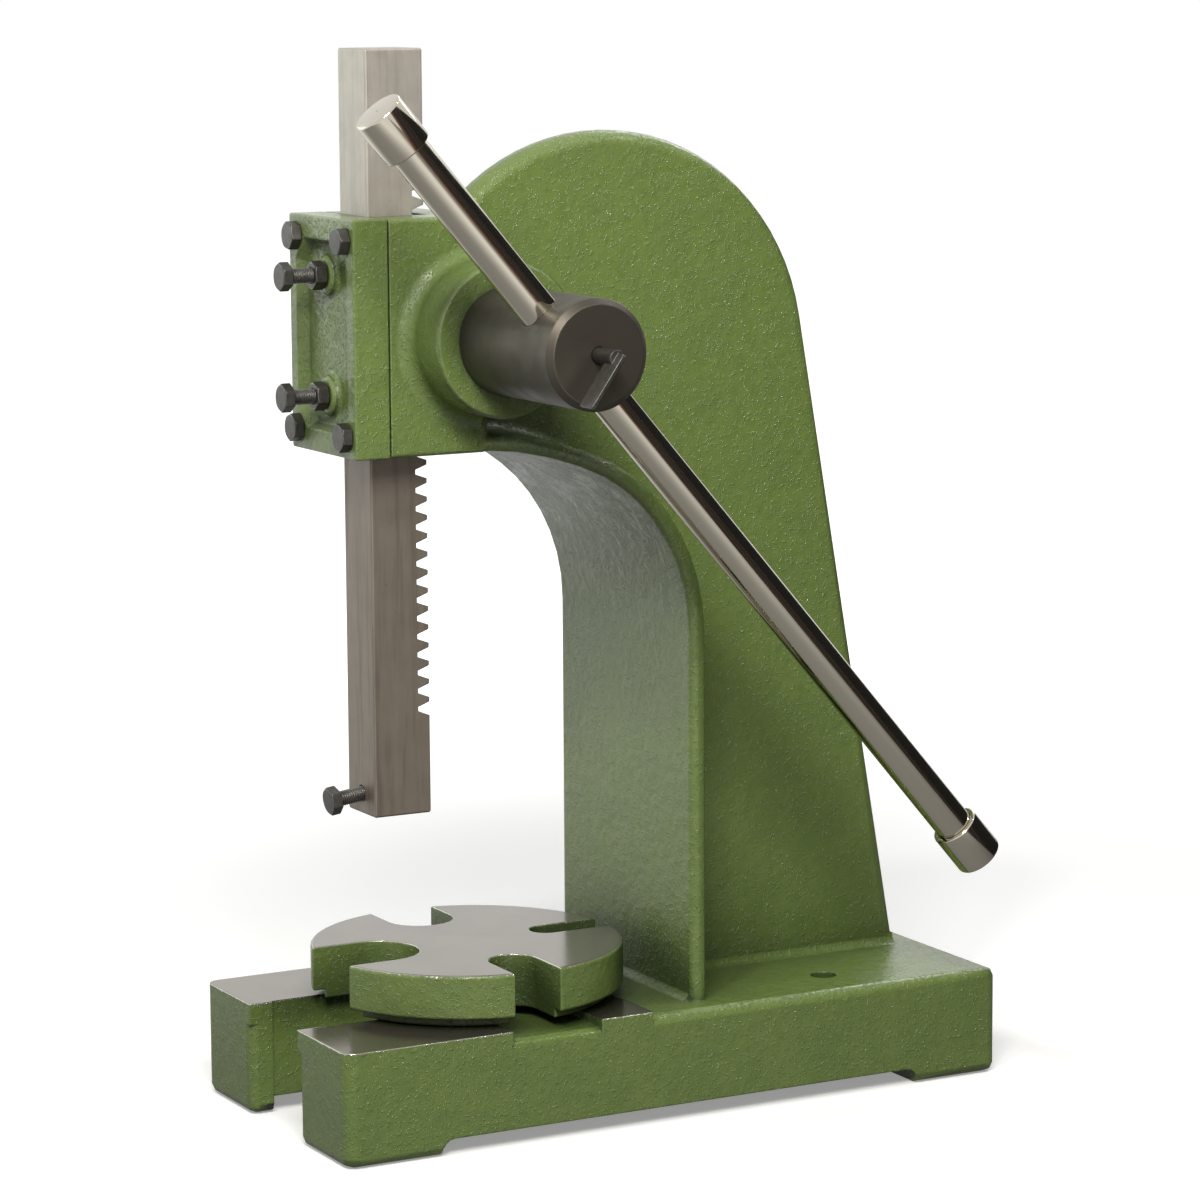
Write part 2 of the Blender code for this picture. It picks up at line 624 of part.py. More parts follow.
def ram_cover():
    """The cover over the ram's channel: a pocket in its front, and a seat for the gib in its back."""
    side, front = HEAD_HALF_WIDTH, -COVER_FRONT_Y
    cover = box("ram_cover", (-side, COVER_FRONT_Y, HEAD_BOTTOM_Z), (side, COVER_BACK_Y, HEAD_TOP_Z))
    round_edges(cover, COVER_EDGE_RADIUS)
    floor = COVER_FRONT_Y + POCKET_DEPTH
    mouth = [pocket_ring(0, y) for y in (COVER_FRONT_Y, COVER_FRONT_Y - OVERRUN)]
    cut(cover, loft("cover_pocket", [pocket_ring(POCKET_SLOPE, floor), *mouth]))
    face, fillet, wide = front - POCKET_BOSS_DROP, POCKET_BOSS_FILLET, POCKET_BOSS_RADIUS
    for name, z in gib_screw_places().items():
        centre = (0, 0, z)
        join(cover, boss(f"{name}_boss", wide, -floor - fillet, face, centre, AXIS_FRONT))
        join(cover, boss_foot(f"{name}_boss_foot", wide, fillet, -floor, centre, AXIS_FRONT))
    half = RAM_HALF + GAP
    path = box("ram_path", (-half, -half, HEAD_BOTTOM_Z - OVERRUN), (half, 0, HEAD_TOP_Z + OVERRUN))
    gib, middle = GIB_LENGTH / 2 + GAP, (HEAD_BOTTOM_Z + HEAD_TOP_Z) / 2
    deep, wide = half + GIB_THICKNESS + GAP, GIB_WIDTH / 2 + GAP
    cut(cover, path, box("gib_seat", (-wide, -deep, middle - gib), (wide, 0, middle + gib)))
    holes = [(f"cover_hole_{i}", x, z) for i, (x, z) in enumerate(cover_bolt_places(), start=1)]
    holes += [(f"{name}_hole", 0, z) for name, z in gib_screw_places().items()]
    for name, x, z in holes:
        cut(cover, rod(name, THREAD_RADIUS + GAP, 0, front + OVERRUN, (x, 0, z), AXIS_FRONT))
    return as_piece(manifold_steps(cover), GREEN_PAINT)


def gib_strip():
    middle = (HEAD_BOTTOM_Z + HEAD_TOP_Z) / 2
    back = -RAM_HALF - GAP
    low = (-GIB_WIDTH / 2, back - GIB_THICKNESS, middle - GIB_LENGTH / 2)
    return as_piece(box("gib_strip", low, (GIB_WIDTH / 2, back, middle + GIB_LENGTH / 2)), GROUND_STEEL)


def finished_mesh(obj):
    """The mesh that the object's modifiers make, which like pieces share."""
    bpy.context.view_layer.update()
    graph = bpy.context.evaluated_depsgraph_get()
    mesh = bpy.data.meshes.new_from_object(obj.evaluated_get(graph))
    mesh.set_sharp_from_angle(angle=SHARP_ANGLE)
    return mesh


def hexagon(name, low, high):
    """A hexagon prism with the corners of its upper end chamfered."""
    chamfer = HEX_CHAMFER
    flat = HEX_FLATS / 2
    profile = [(0, high), (flat, high), (HEX_RADIUS, high - chamfer), (HEX_RADIUS, low), (0, low)]
    body = turned(name, profile, (0, 0, 0), steps=SMALL_STEPS)
    return keep(rod(f"{name}_prism", HEX_RADIUS, low, high, (0, 0, 0), steps=6), body)


def hex_bolt_mesh(name, shank):
    """A hexagon bolt that points down: its head stands on zero, and its shank reaches down from there."""
    head = hexagon(f"{name}_head", 0, HEX_HEIGHT)
    stem = rod(f"{name}_shank", THREAD_RADIUS, -shank, HEX_HEIGHT / 2, (0, 0, 0), steps=SMALL_STEPS // 2)
    return finished_mesh(join(head, stem))


def hex_nut_mesh():
    nut = hexagon("nut_body", 0, NUT_HEIGHT)
    hole = rod("nut_hole", THREAD_RADIUS + GAP, -OVERRUN, NUT_HEIGHT + OVERRUN, (0, 0, 0))
    return finished_mesh(cut(nut, hole))


def fastener(name, mesh, place, axis, turn=0):
    """A bolt or nut at its place, turned about its own axis."""
    obj = helper(name, mesh)
    obj.matrix_local = Matrix.Translation(place) @ axis @ Matrix.Rotation(turn, 4, "Z")
    obj.hide_render = False
    CUTTERS.objects.unlink(obj)
    PARTS.objects.link(obj)
    obj.display_type = "TEXTURED"
    if not mesh.materials:
        mesh.materials.append(FASTENER_STEEL)
    return obj


def cover_fasteners():
    """Four bolts that hold the cover, and two gib screws with their lock nuts."""
    shank = COVER_THICKNESS + COVER_BOLT_GRIP - OVERRUN
    mesh = hex_bolt_mesh("cover_bolt", shank)
    for number, (x, z) in enumerate(cover_bolt_places(), start=1):
        place = (x, COVER_FRONT_Y - GAP, z)
        fastener(f"cover_bolt_{number}", mesh, place, AXIS_FRONT, math.radians(17) * number)
    gib_front = RAM_HALF + 2 * GAP + GIB_THICKNESS
    under_head = -COVER_FRONT_Y + GIB_SCREW_REACH
    screw = hex_bolt_mesh("gib_screw", under_head - gib_front)
    nut = hex_nut_mesh()
    for name, z in gib_screw_places().items():
        fastener(f"gib_screw_{name}", screw, (0, -under_head, z), AXIS_FRONT)
        place = (0, COVER_FRONT_Y + POCKET_BOSS_DROP - GAP, z)
        fastener(f"lock_nut_{name}", nut, place, AXIS_FRONT, math.radians(8))


def rack_comb():
    """The spaces between the rack's teeth from the side, joined behind the ram into one cutter."""
    tan = math.tan(RACK_ANGLE)
    root_y, out_y = RACK_LINE_Y - DEDENDUM, RAM_HALF + RACK_MODULE / 2
    middle = RACK_PITCH / 2 + RACK_BACKLASH
    points = []
    for i in range(RACK_SPACES):
        z = RACK_FIRST_SPACE + i * RACK_PITCH
        root = middle / 2 - (RACK_LINE_Y - root_y) * tan
        mouth = middle / 2 + (out_y - RACK_LINE_Y) * tan
        points += [(out_y, z - mouth), (root_y, z - root), (root_y, z + root), (out_y, z + mouth)]
    far = RAM_HALF + OVERRUN
    points += [(far, points[-1][1]), (far, points[0][1])]
    return points


def ram():
    """The square ram: a rack down its rear face, a bore for tools in its nose, and a screw into that bore."""
    size = Vector((RAM_SIDE, RAM_SIDE, RAM_LENGTH))
    low = Vector((-RAM_HALF, -RAM_HALF, 0))
    body = box("ram", low, low + size)
    round_edges(body, RAM_CHAMFER, 1)
    wide = RAM_HALF + OVERRUN
    cut(body, slab("rack_spaces", rack_comb(), -wide, wide, SIDE_PLANE))
    cut(body, rod("tool_bore", TOOL_BORE_RADIUS, -OVERRUN, TOOL_BORE_DEPTH, (0, 0, 0)))
    screw = (0, -RAM_HALF, RAM_SCREW_HEIGHT)
    tilt = Matrix.Rotation(RAM_SCREW_TILT, 4, "X") @ AXIS_FRONT
    cut(body, rod("ram_screw_hole", THREAD_RADIUS + GAP, -RAM_HALF, OVERRUN, screw, tilt))
    for obj in [body] + [step.object for step in body.modifiers if step.type == "BOOLEAN"]:
        obj.location.z += RAM_NOSE_Z
    as_piece(body, GROUND_STEEL)
    shank = RAM_HALF + RAM_SCREW_REACH - TOOL_BORE_RADIUS
    place = Vector((0, -RAM_HALF, RAM_NOSE_Z + RAM_SCREW_HEIGHT)) + tilt @ Vector((0, 0, RAM_SCREW_REACH))
    fastener("ram_set_screw", hex_bolt_mesh("ram_set_screw", shank), place, tilt, math.radians(12))


def involute(angle):
    """Unwinds the base circle: the point's radius as a share of the base radius, and its angle."""
    return math.hypot(1, angle), angle - math.atan(angle)


def pinion_outline():
    """The pinion's teeth from the side, turned so that a tooth lies in the rack's space at rest."""
    base = PITCH_RADIUS * math.cos(RACK_ANGLE)
    outer, root = PITCH_RADIUS + RACK_MODULE, PITCH_RADIUS - DEDENDUM
    at_pitch = math.tan(RACK_ANGLE) - RACK_ANGLE
    half_tooth = (RACK_PITCH / 2 - RACK_BACKLASH) / (2 * PITCH_RADIUS)
    last = math.sqrt((outer / base) ** 2 - 1)
    flank = []
    for i in range(5):
        radius_share, turn = involute(last * i / 4)
        flank.append((base * radius_share, half_tooth + at_pitch - turn))
    flank.insert(0, (root, flank[0][1]))
    below = (PINION_AXIS_Z - RAM_NOSE_Z - RACK_FIRST_SPACE) % RACK_PITCH
    start = math.pi + below / PITCH_RADIUS
    points = []
    for tooth in range(PINION_TEETH):
        middle = start + 2 * math.pi * tooth / PINION_TEETH
        points += [(r * math.cos(middle - a), r * math.sin(middle - a)) for r, a in flank]
        points += [(r * math.cos(middle + a), r * math.sin(middle + a)) for r, a in flank[::-1]]
    return points


def lever_axis():
    return Matrix.Rotation(math.pi / 2 - LEVER_TILT, 4, "X")


def pinion_shaft():
    """Hub, journal, pinion and tail in one piece, with the lever's hole across the hub."""
    axis = (0, PINION_AXIS_Y, PINION_AXIS_Z)
    hub, chamfer, core = HUB_RADIUS, HUB_CHAMFER, PITCH_RADIUS - DEDENDUM - RACK_BACKLASH
    half = RAM_HALF + GAP
    profile = [(0, HUB_END_X), (hub - chamfer, HUB_END_X), (hub, HUB_END_X - chamfer)]
    profile += [(hub, HUB_START_X), (JOURNAL_RADIUS, HUB_START_X)]
    profile += [(JOURNAL_RADIUS, half), (core, half), (core, -half + GAP), (TAIL_RADIUS, -half + GAP)]
    profile += [(TAIL_RADIUS, -TAIL_BOSS_FACE_X), (0, -TAIL_BOSS_FACE_X)]
    shaft = turned("pinion_shaft", profile, axis, AXIS_X)
    teeth = slab("pinion_teeth", pinion_outline(), -RAM_HALF, half + OVERRUN, SIDE_PLANE)
    teeth.location = axis
    join(shaft, teeth)
    reach = HUB_RADIUS + OVERRUN
    centre = (LEVER_X, PINION_AXIS_Y, PINION_AXIS_Z)
    cut(shaft, rod("lever_hole", LEVER_RADIUS + GAP, -reach, reach, centre, lever_axis(), ROUND_STEPS // 2))
    cut(shaft, rod("clamp_hole", CLAMP_STUD_RADIUS + GAP, LEVER_X, HUB_END_X + OVERRUN, axis, AXIS_X))
    end = -TAIL_BOSS_FACE_X
    cut(shaft, rod("tail_hole", THREAD_RADIUS + GAP, end - OVERRUN, end + TAIL_BOLT_REACH, axis, AXIS_X))
    as_piece(shaft, BLACK_STEEL)

    left = AXIS_X.inverted()
    near = TAIL_BOSS_FACE_X + GAP
    far = near + TAIL_WASHER_THICKNESS
    hole, wide = THREAD_RADIUS + GAP, TAIL_WASHER_RADIUS
    ring = [(hole, far), (wide - HEX_CHAMFER, far), (wide, far - HEX_CHAMFER), (wide, near), (hole, near)]
    washer = turned("tail_washer", ring + ring[:1], axis, left)
    as_piece(washer, BLACK_STEEL)
    mesh = hex_bolt_mesh("tail_bolt", TAIL_WASHER_THICKNESS + TAIL_BOLT_REACH - GAP)
    fastener("tail_bolt", mesh, (-far - GAP, PINION_AXIS_Y, PINION_AXIS_Z), left)


def lever():
    """The lever rod and a cap on each of its ends."""
    centre = (LEVER_X, PINION_AXIS_Y, PINION_AXIS_Z)
    tilt = lever_axis()
    seat = CAP_END_THICKNESS + GAP
    top, bottom = LEVER_UPPER - seat, LEVER_LOWER - seat
    profile = [(0, top), (LEVER_RADIUS, top), (LEVER_RADIUS, -bottom), (0, -bottom)]
    as_piece(turned("lever_rod", profile, centre, tilt, ROUND_STEPS // 2), CHROME)
    bore, wide, edge = LEVER_RADIUS + GAP, CAP_RADIUS, CAP_EDGE
    for name, end, way in (("upper", LEVER_UPPER, tilt), ("lower", LEVER_LOWER, tilt @ AXIS_X @ AXIS_X)):
        low = end - CAP_LENGTH
        cap = [(0, end), (wide - edge, end), (wide, end - edge), (wide, low + edge), (wide - edge, low)]
        cap += [(bore, low), (bore, end - CAP_END_THICKNESS), (0, end - CAP_END_THICKNESS)]
        as_piece(turned(f"lever_cap_{name}", cap, centre, way, ROUND_STEPS // 2), CHROME)


def lever_clamp_screw():
    """The screw in the end of the hub that clamps the lever: a stud, and a flat bar across its end."""
    axis = (0, PINION_AXIS_Y, PINION_AXIS_Z)
    tip, end = LEVER_X + LEVER_RADIUS + GAP, HUB_END_X + CLAMP_STUD_REACH
    screw = rod("lever_clamp_screw", CLAMP_STUD_RADIUS, tip, end, axis, AXIS_X)
    thick = CLAMP_BAR_THICKNESS
    outer = end + CLAMP_BAR_OVERHANG
    inner = outer - CLAMP_BAR_WIDTH
    outline = rounded([
        (outer, CLAMP_BAR_RISE, thick),
        (inner, CLAMP_BAR_RISE, thick / 2),
        (inner, -CLAMP_BAR_LENGTH, thick / 2),
        (outer, -CLAMP_BAR_LENGTH, thick / 2),
    ])
    bar = slab("clamp_bar", outline, -thick / 2, thick / 2, FRONT_PLANE)
    bar.matrix_local = Matrix.Translation(axis) @ Matrix.Rotation(-CLAMP_BAR_TILT, 4, "X")
    return as_piece(join(screw, bar), FASTENER_STEEL)


def slot_outline(width, reach):
    """A slot with a round inner end, open past the plate's rim, along +Y from the plate's centre."""
    half = width / 2
    inner = arc((0, reach), half, math.pi, 2 * math.pi, 10)
    far = PLATE_RADIUS + OVERRUN
    return inner + [(half, far), (-half, far)]


def work_plate():
    """The round plate that carries the work, with a slot of another width on each side."""
    low, ring, edge, wide = PLATE_BOTTOM_Z, PAD_HEIGHT + GAP, PLATE_EDGE, PLATE_RADIUS
    profile = [(0, PLATE_TOP_Z), (wide - edge, PLATE_TOP_Z), (wide, PLATE_TOP_Z - edge)]
    profile += [(wide, low + edge), (wide - edge, low)]
    profile += [(PLATE_RING_RADIUS, low), (PLATE_RING_RADIUS, ring), (0, ring)]
    centre = (0, PLATE_CENTRE_Y, 0)
    plate = turned("work_plate", profile, centre, steps=2 * ROUND_STEPS)
    slots = (
        ("front_slot", FRONT_SLOT_WIDTH, FRONT_SLOT_REACH, 2),
        ("left_slot", LEFT_SLOT_WIDTH, LEFT_SLOT_REACH, 1),
        ("rear_slot", REAR_SLOT_WIDTH, REAR_SLOT_REACH, 0),
        ("right_slot", RIGHT_SLOT_WIDTH, RIGHT_SLOT_REACH, 3),
    )
    for name, width, reach, quarters in slots:
        slot = slab(name, slot_outline(width, reach), ring - OVERRUN, PLATE_TOP_Z + OVERRUN)
        slot.matrix_local = Matrix.Translation(centre) @ Matrix.Rotation(math.pi / 2 * quarters, 4, "Z")
        cut(plate, slot)
    cut(plate, rod("pivot_bore", PIVOT_RADIUS + GAP, ring - OVERRUN, ring + PIVOT_RISE + GAP, centre))
    as_piece(plate, PLATE_IRON)
    foot, top = STEP_Z - PIVOT_DEPTH + GAP, ring + PIVOT_RISE
    edge, wide = HEX_CHAMFER, PIVOT_RADIUS
    pin = [(0, top), (wide - edge, top), (wide, top - edge), (wide, foot), (0, foot)]
    as_piece(turned("plate_pivot_pin", pin, centre, steps=SMALL_STEPS), GROUND_STEEL)


def main():
    frame_casting()
    ram_cover()
    gib_strip()
    cover_fasteners()
    ram()
    pinion_shaft()
    lever()
    lever_clamp_screw()
    work_plate()


if __name__ == "__main__":
    main()
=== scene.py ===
"""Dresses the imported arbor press: the finishes of its castings, ram, hub, lever, plate and fasteners, and the stage.

Metres, +Z up, in the frame of the CAD. Each operator makes one piece or one group of like pieces, and main()
calls them in order. What a user would change is a property in the sidebar's Arbor Press tab.
"""

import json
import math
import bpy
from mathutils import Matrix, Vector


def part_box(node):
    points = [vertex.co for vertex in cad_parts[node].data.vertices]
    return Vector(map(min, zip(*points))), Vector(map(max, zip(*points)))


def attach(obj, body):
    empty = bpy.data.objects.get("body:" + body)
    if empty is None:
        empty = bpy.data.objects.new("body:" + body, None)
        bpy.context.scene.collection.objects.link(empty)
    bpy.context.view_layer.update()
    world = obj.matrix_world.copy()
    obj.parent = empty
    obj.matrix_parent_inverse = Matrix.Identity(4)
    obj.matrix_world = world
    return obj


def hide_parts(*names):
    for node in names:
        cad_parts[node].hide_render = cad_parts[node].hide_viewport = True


bl_info = {
    "name": "Arbor Press",
    "version": (1, 0, 0),
    "blender": (4, 5, 0),
    "location": "3D View > Sidebar > Arbor Press",
    "description": "Builds the finishes and fine shapes of an arbor press round its CAD frame",
    "category": "Object",
}

import bmesh
import bpy
import numpy as np
from bpy.props import FloatProperty, FloatVectorProperty, PointerProperty
from bpy.types import Operator, Panel, PropertyGroup
from mathutils import Matrix, Vector

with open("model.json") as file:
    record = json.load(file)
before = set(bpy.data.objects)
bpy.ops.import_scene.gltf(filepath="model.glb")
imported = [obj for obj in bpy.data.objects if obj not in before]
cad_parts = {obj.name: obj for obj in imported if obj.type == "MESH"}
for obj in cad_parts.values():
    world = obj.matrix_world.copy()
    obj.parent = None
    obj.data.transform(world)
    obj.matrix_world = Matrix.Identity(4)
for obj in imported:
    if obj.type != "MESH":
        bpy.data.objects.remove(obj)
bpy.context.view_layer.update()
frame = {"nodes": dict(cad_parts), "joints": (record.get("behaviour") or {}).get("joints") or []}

JOINTS = {joint["name"]: joint for joint in frame["joints"]}

# Meshes: sharp edges, steps round a circle and along a thread, and what a merged copy joins and flattens
SHARP_ANGLE = math.radians(35)
ROUNDED_ANGLE = math.radians(38)
ROUND_STEPS = 96
THREAD_STEPS = 24
ROWS_PER_THREAD = 8
MERGE_DISTANCE = 0.000002
FLAT_ANGLE = math.radians(1)

# Edge radii of the merged copies
SOFT_EDGE = 0.0005
FINE_EDGE = 0.0004

# How far the hexagons are turned from standing on a flat
BOLT_TURN = math.radians(17)
NUT_TURN = math.radians(8)
SET_SCREW_TURN = math.radians(12)

# The stage: the floor, the dark card's ends and height, and each lamp's place, size and colour
FLOOR_REACH = 6.0
FLOOR_DROP = 0.0004
CARD_RIGHT = (1.42, 0.14)
CARD_LEFT = (-0.9, 1.6)
CARD_WAY = (-0.85, 0.53, 0)
CARD_HEIGHT = 1.1
LIT_POINT = (0, -0.2, 0.3)
LAMPS = {
    "key": ((1.1, -0.76, 1.14), (0.5, 0.5), (1.0, 0.97, 0.92)),
    "glint": ((0.74, -1.0, 1.48), (0.12, 0.12), (1.0, 0.97, 0.92)),
    "top": ((0.3, 0.5, 1.37), (0.12, 0.12), (1.0, 1.0, 0.98)),
    "fill": ((-1.6, -1.2, 0.9), (1.4, 1.2), (0.93, 1.0, 0.93)),
    "rear": ((-1.1, 1.2, 1.5), (1.2, 0.6), (1.0, 1.0, 1.0)),
}

# The camera as solved from the photo's edges: its place, and its own axes
CAMERA_PLACE = (1.92471, -1.20822, 0.59523)
CAMERA_RIGHT = (0.47579906, 0.879533, -0.00607936)
CAMERA_UP = (-0.12994813, 0.07713042, 0.98851625)
CAMERA_BACK = (0.86990157, -0.4695451, 0.15099224)
CAMERA_LENS = 125.795
CAMERA_SENSOR = 36


def colour_property(name, description, default):
    return FloatVectorProperty(
        name=name, description=description, subtype="COLOR", size=3, min=0, max=1, default=default
    )


def length_property(name, description, default):
    return FloatProperty(name=name, description=description, unit="LENGTH", precision=5, min=0, default=default)


def number_property(name, description, default):
    return FloatProperty(name=name, description=description, min=0, default=default)


class PaintSettings(PropertyGroup):
    """The enamel on the castings."""

    colour: colour_property("Colour", "Colour of the enamel", (0.152, 0.214, 0.056))
    thick_colour: colour_property("Thick colour", "Colour where the enamel lies thick", (0.112, 0.176, 0.042))
    thin_colour: colour_property("Thin colour", "Colour where the enamel runs thin, on edges", (0.33, 0.42, 0.2))
    chip_colour: colour_property("Chip colour", "Colour of a fresh chip at a machined edge", (0.5, 0.52, 0.42))
    # Painted shade: the dark colour that corners and the gaps between parts are painted towards
    corner_shade_colour: colour_property("Grime", "Colour of the oil and dust in the corners", (0.02, 0.034, 0.008))
    roughness: FloatProperty(name="Roughness", description="Roughness of the enamel", min=0, max=1, default=0.17)
    grain_size: length_property("Grain size", "Width of the bumps that the sand left under the enamel", 0.0012)
    grain_depth: length_property("Grain depth", "Height of those bumps", 0.00048)
    chip_width: length_property("Chip width", "Reach of the chips below a machined face", 0.0012)
    # Painted shade: how near a neighbour must come for a corner to be painted darker
    corner_shade_reach: length_property("Grime reach", "How near a neighbour makes a corner that holds grime", 0.09)


class SteelSettings(PropertyGroup):
    """The bare metals."""

    ground_colour: colour_property("Ground steel", "Colour of the ram", (0.44, 0.41, 0.362))
    # Painted shade: the darker colour that the ram is painted towards below the head's top
    lower_shade_colour: colour_property("Worked steel", "Colour of the ram's lower part", (0.24, 0.206, 0.168))
    machined_colour: colour_property("Machined iron", "Colour of the plate's top and the pads", (0.235, 0.209, 0.17))
    oxide_colour: colour_property("Black oxide", "Colour of the hub", (0.074, 0.065, 0.05))
    fastener_colour: colour_property("Fasteners", "Colour of the screws and nuts", (0.092, 0.088, 0.08))
    worn_colour: colour_property("Worn edge", "Colour of an edge that handling has bared", (0.42, 0.40, 0.37))
    chrome_colour: colour_property("Chrome", "Colour of the lever", (0.56, 0.52, 0.43))


class FastenerSettings(PropertyGroup):
    """The hexagon screws and nuts."""

    across_flats: length_property("Across flats", "Width of a head across its flats", 0.013)
    head_height: length_property("Head height", "Height of a screw's head", 0.0053)
    thread_radius: length_property("Thread radius", "Outer radius of the threads", 0.004)
    thread_pitch: length_property("Thread pitch", "Distance from thread to thread", 0.00125)
    thread_depth: length_property("Thread depth", "Depth of the threads", 0.0006)
    edge_radius: length_property("Edge radius", "Radius of the heads' edges", 0.0004)
    chamfer: length_property("Chamfer", "Height of the rows that shape a head's chamfer", 0.0016)
    bore_gap: length_property("Bore gap", "Gap between a nut and its screw", 0.0003)
    set_screw_reach: length_property("Set screw's reach", "Shank of the set screw outside the ram", 0.014)
    set_screw_grip: length_property("Set screw's grip", "Shank of the set screw inside the ram", 0.008)


class LeverSettings(PropertyGroup):
    """The lever's caps."""

    cap_length: length_property("Cap length", "Length of a cap", 0.024)
    cap_wall: length_property("Cap wall", "Thickness of a cap's closed end", 0.0043)
    cap_edge: length_property("Cap edge", "Radius of the caps' outer edges", 0.0011)
    cap_gap: length_property("Cap gap", "Gap between a cap and the rod", 0.0003)


class StageSettings(PropertyGroup):
    """Floor and light."""

    floor_colour: colour_property("Floor", "Colour of the floor", (0.9, 0.9, 0.9))
    bounce: number_property("Bounce", "Share of the light that the floor sends back", 0.12)
    ambient: number_property("Ambient", "Light from all round", 0.22)
    key_power: number_property("Key", "Power of the lamp at the upper right", 19)
    glint_power: number_property("Glint", "Power of the small lamp near the key", 8)
    top_power: number_property("Top", "Power of the small lamp overhead", 2)
    fill_power: number_property("Fill", "Power of the lamp at the left", 6.5)
    rear_power: number_property("Rear", "Power of the lamp behind", 7)


class PressSettings(PropertyGroup):
    """All the press's settings."""

    paint: PointerProperty(type=PaintSettings)
    steel: PointerProperty(type=SteelSettings)
    fasteners: PointerProperty(type=FastenerSettings)
    lever: PointerProperty(type=LeverSettings)
    stage: PointerProperty(type=StageSettings)


def settings():
    return bpy.context.scene.arbor_press


# Node trees


class Shader:
    """Adds nodes to one tree. A value that is a socket is linked, and any other value is set."""

    def __init__(self, tree):
        self.tree = tree
        self.tree.nodes.clear()

    def add(self, kind, values=None, **choices):
        node = self.tree.nodes.new(kind)
        for name, choice in choices.items():
            setattr(node, name, choice)
        for key, value in (values or {}).items():
            if isinstance(value, bpy.types.NodeSocket):
                self.tree.links.new(value, node.inputs[key])
            elif hasattr(value, "__len__") and len(value) == 3 and len(node.inputs[key].default_value) == 4:
                node.inputs[key].default_value = (*value, 1)
            else:
                node.inputs[key].default_value = value
        return node

    def math(self, operation, first, second=0.0, clamp=False):
        values = {0: first, 1: second}
        return self.add("ShaderNodeMath", values, operation=operation, use_clamp=clamp).outputs[0]

    def vector(self, operation, first, second):
        output = "Value" if operation == "DOT_PRODUCT" else "Vector"
        return self.add("ShaderNodeVectorMath", {0: first, 1: second}, operation=operation).outputs[output]

    def ramp(self, value, low, high, start=0.0, end=1.0):
        """Start below low, end above high, and a smooth change between them."""
        values = {"Value": value, "From Min": low, "From Max": high, "To Min": start, "To Max": end}
        return self.add("ShaderNodeMapRange", values, interpolation_type="SMOOTHSTEP").outputs[0]

    def mix(self, share, first, second):
        """Goes from the first colour to the second with the share."""
        return self.add("ShaderNodeMix", {0: share, 6: first, 7: second}, data_type="RGBA").outputs[2]

    def blend(self, share, first, second):
        """Goes from the first value to the second with the share."""
        return self.add("ShaderNodeMix", {0: share, 2: first, 3: second}, data_type="FLOAT").outputs[0]

    def noise(self, place, size, detail=2.0, roughness=0.5):
        """Noise whose features are about as wide as the size."""
        scale = self.math("DIVIDE", 1.0, size) if isinstance(size, bpy.types.NodeSocket) else 1 / size
        values = {"Vector": place, "Scale": scale, "Detail": detail, "Roughness": roughness}
        return self.add("ShaderNodeTexNoise", values).outputs["Fac"]

    def position(self):
        return self.add("ShaderNodeTexCoord").outputs["Object"]


def effect(name, inputs, outputs, build):
    """A shader node group: build(shader, inputs by name) gives its outputs by name."""
    group = bpy.data.node_groups.new(name, "ShaderNodeTree")
    for label, kind, default in inputs:
        socket = group.interface.new_socket(label, in_out="INPUT", socket_type=kind)
        if default is not None:
            socket.default_value = default
    for label, kind in outputs:
        group.interface.new_socket(label, in_out="OUTPUT", socket_type=kind)
    shader = Shader(group)
    given = shader.add("NodeGroupInput").outputs
    made = build(shader, given)
    shader.add("NodeGroupOutput", {label: made[label] for label, kind in outputs})
    return group


VECTOR, VALUE = "NodeSocketVector", "NodeSocketFloat"


def build_cast_grain(shader, given):
    """Swells, scattered grains and a fine skin, and slow mottling: what sand leaves under enamel."""
    size = given["Size"]
    swell = shader.noise(given["Place"], shader.math("MULTIPLY", size, 5.0), 1.0)
    grains = shader.ramp(shader.noise(given["Place"], shader.math("MULTIPLY", size, 1.5), 3.0, 0.6), 0.53, 0.67)
    fine = shader.noise(given["Place"], shader.math("MULTIPLY", size, 0.4), 1.0)
    slow = shader.noise(given["Place"], shader.math("MULTIPLY", size, 16.0), 2.0)
    mottle = shader.ramp(slow, 0.35, 0.68)
    rough = shader.math("MULTIPLY", fine, shader.ramp(mottle, 0.0, 1.0, 0.1, 0.5))
    height = shader.math("ADD", shader.math("MULTIPLY", grains, 0.5), rough)
    return {"Height": shader.math("ADD", height, swell), "Grains": grains, "Mottle": mottle}


def build_edge_wear(shader, given):
    """One where a rounded normal leaves the true one, which is along edges, broken up by noise."""
    rounded = shader.add("ShaderNodeBevel", {"Radius": given["Width"]}, samples=6).outputs[0]
    true = shader.add("ShaderNodeNewGeometry").outputs["Normal"]
    bend = shader.math("SUBTRACT", 1.0, shader.vector("DOT_PRODUCT", rounded, true))
    patches = shader.ramp(shader.noise(given["Place"], given["Patch"], 3.0), 0.3, 0.62)
    wear = shader.math("MULTIPLY", shader.ramp(bend, 0.02, 0.16), patches)
    return {"Mask": wear, "Normal": rounded}


def build_tool_marks(shader, given):
    """Fine lines along one axis from stretched noise, and slow changes of tone."""
    lines = shader.noise(shader.vector("DIVIDE", given["Place"], given["Line"]), 1.0, 3.0, 0.65)
    slow = shader.noise(given["Place"], given["Patch"], 3.0)
    return {"Height": lines, "Tone": shader.ramp(slow, 0.3, 0.7)}


def make_effects():
    """The three effects that the finishes share."""
    place = ("Place", VECTOR, None)
    masks = [("Height", VALUE), ("Grains", VALUE), ("Mottle", VALUE)]
    effect("cast_grain", [place, ("Size", VALUE, 0.002)], masks, build_cast_grain)
    sizes = [("Width", VALUE, 0.0008), ("Patch", VALUE, 0.004)]
    effect("edge_wear", [place, *sizes], [("Mask", VALUE), ("Normal", VECTOR)], build_edge_wear)
    sizes = [("Line", VECTOR, (0.001, 0.001, 0.001)), ("Patch", VALUE, 0.02)]
    effect("tool_marks", [place, *sizes], [("Height", VALUE), ("Tone", VALUE)], build_tool_marks)


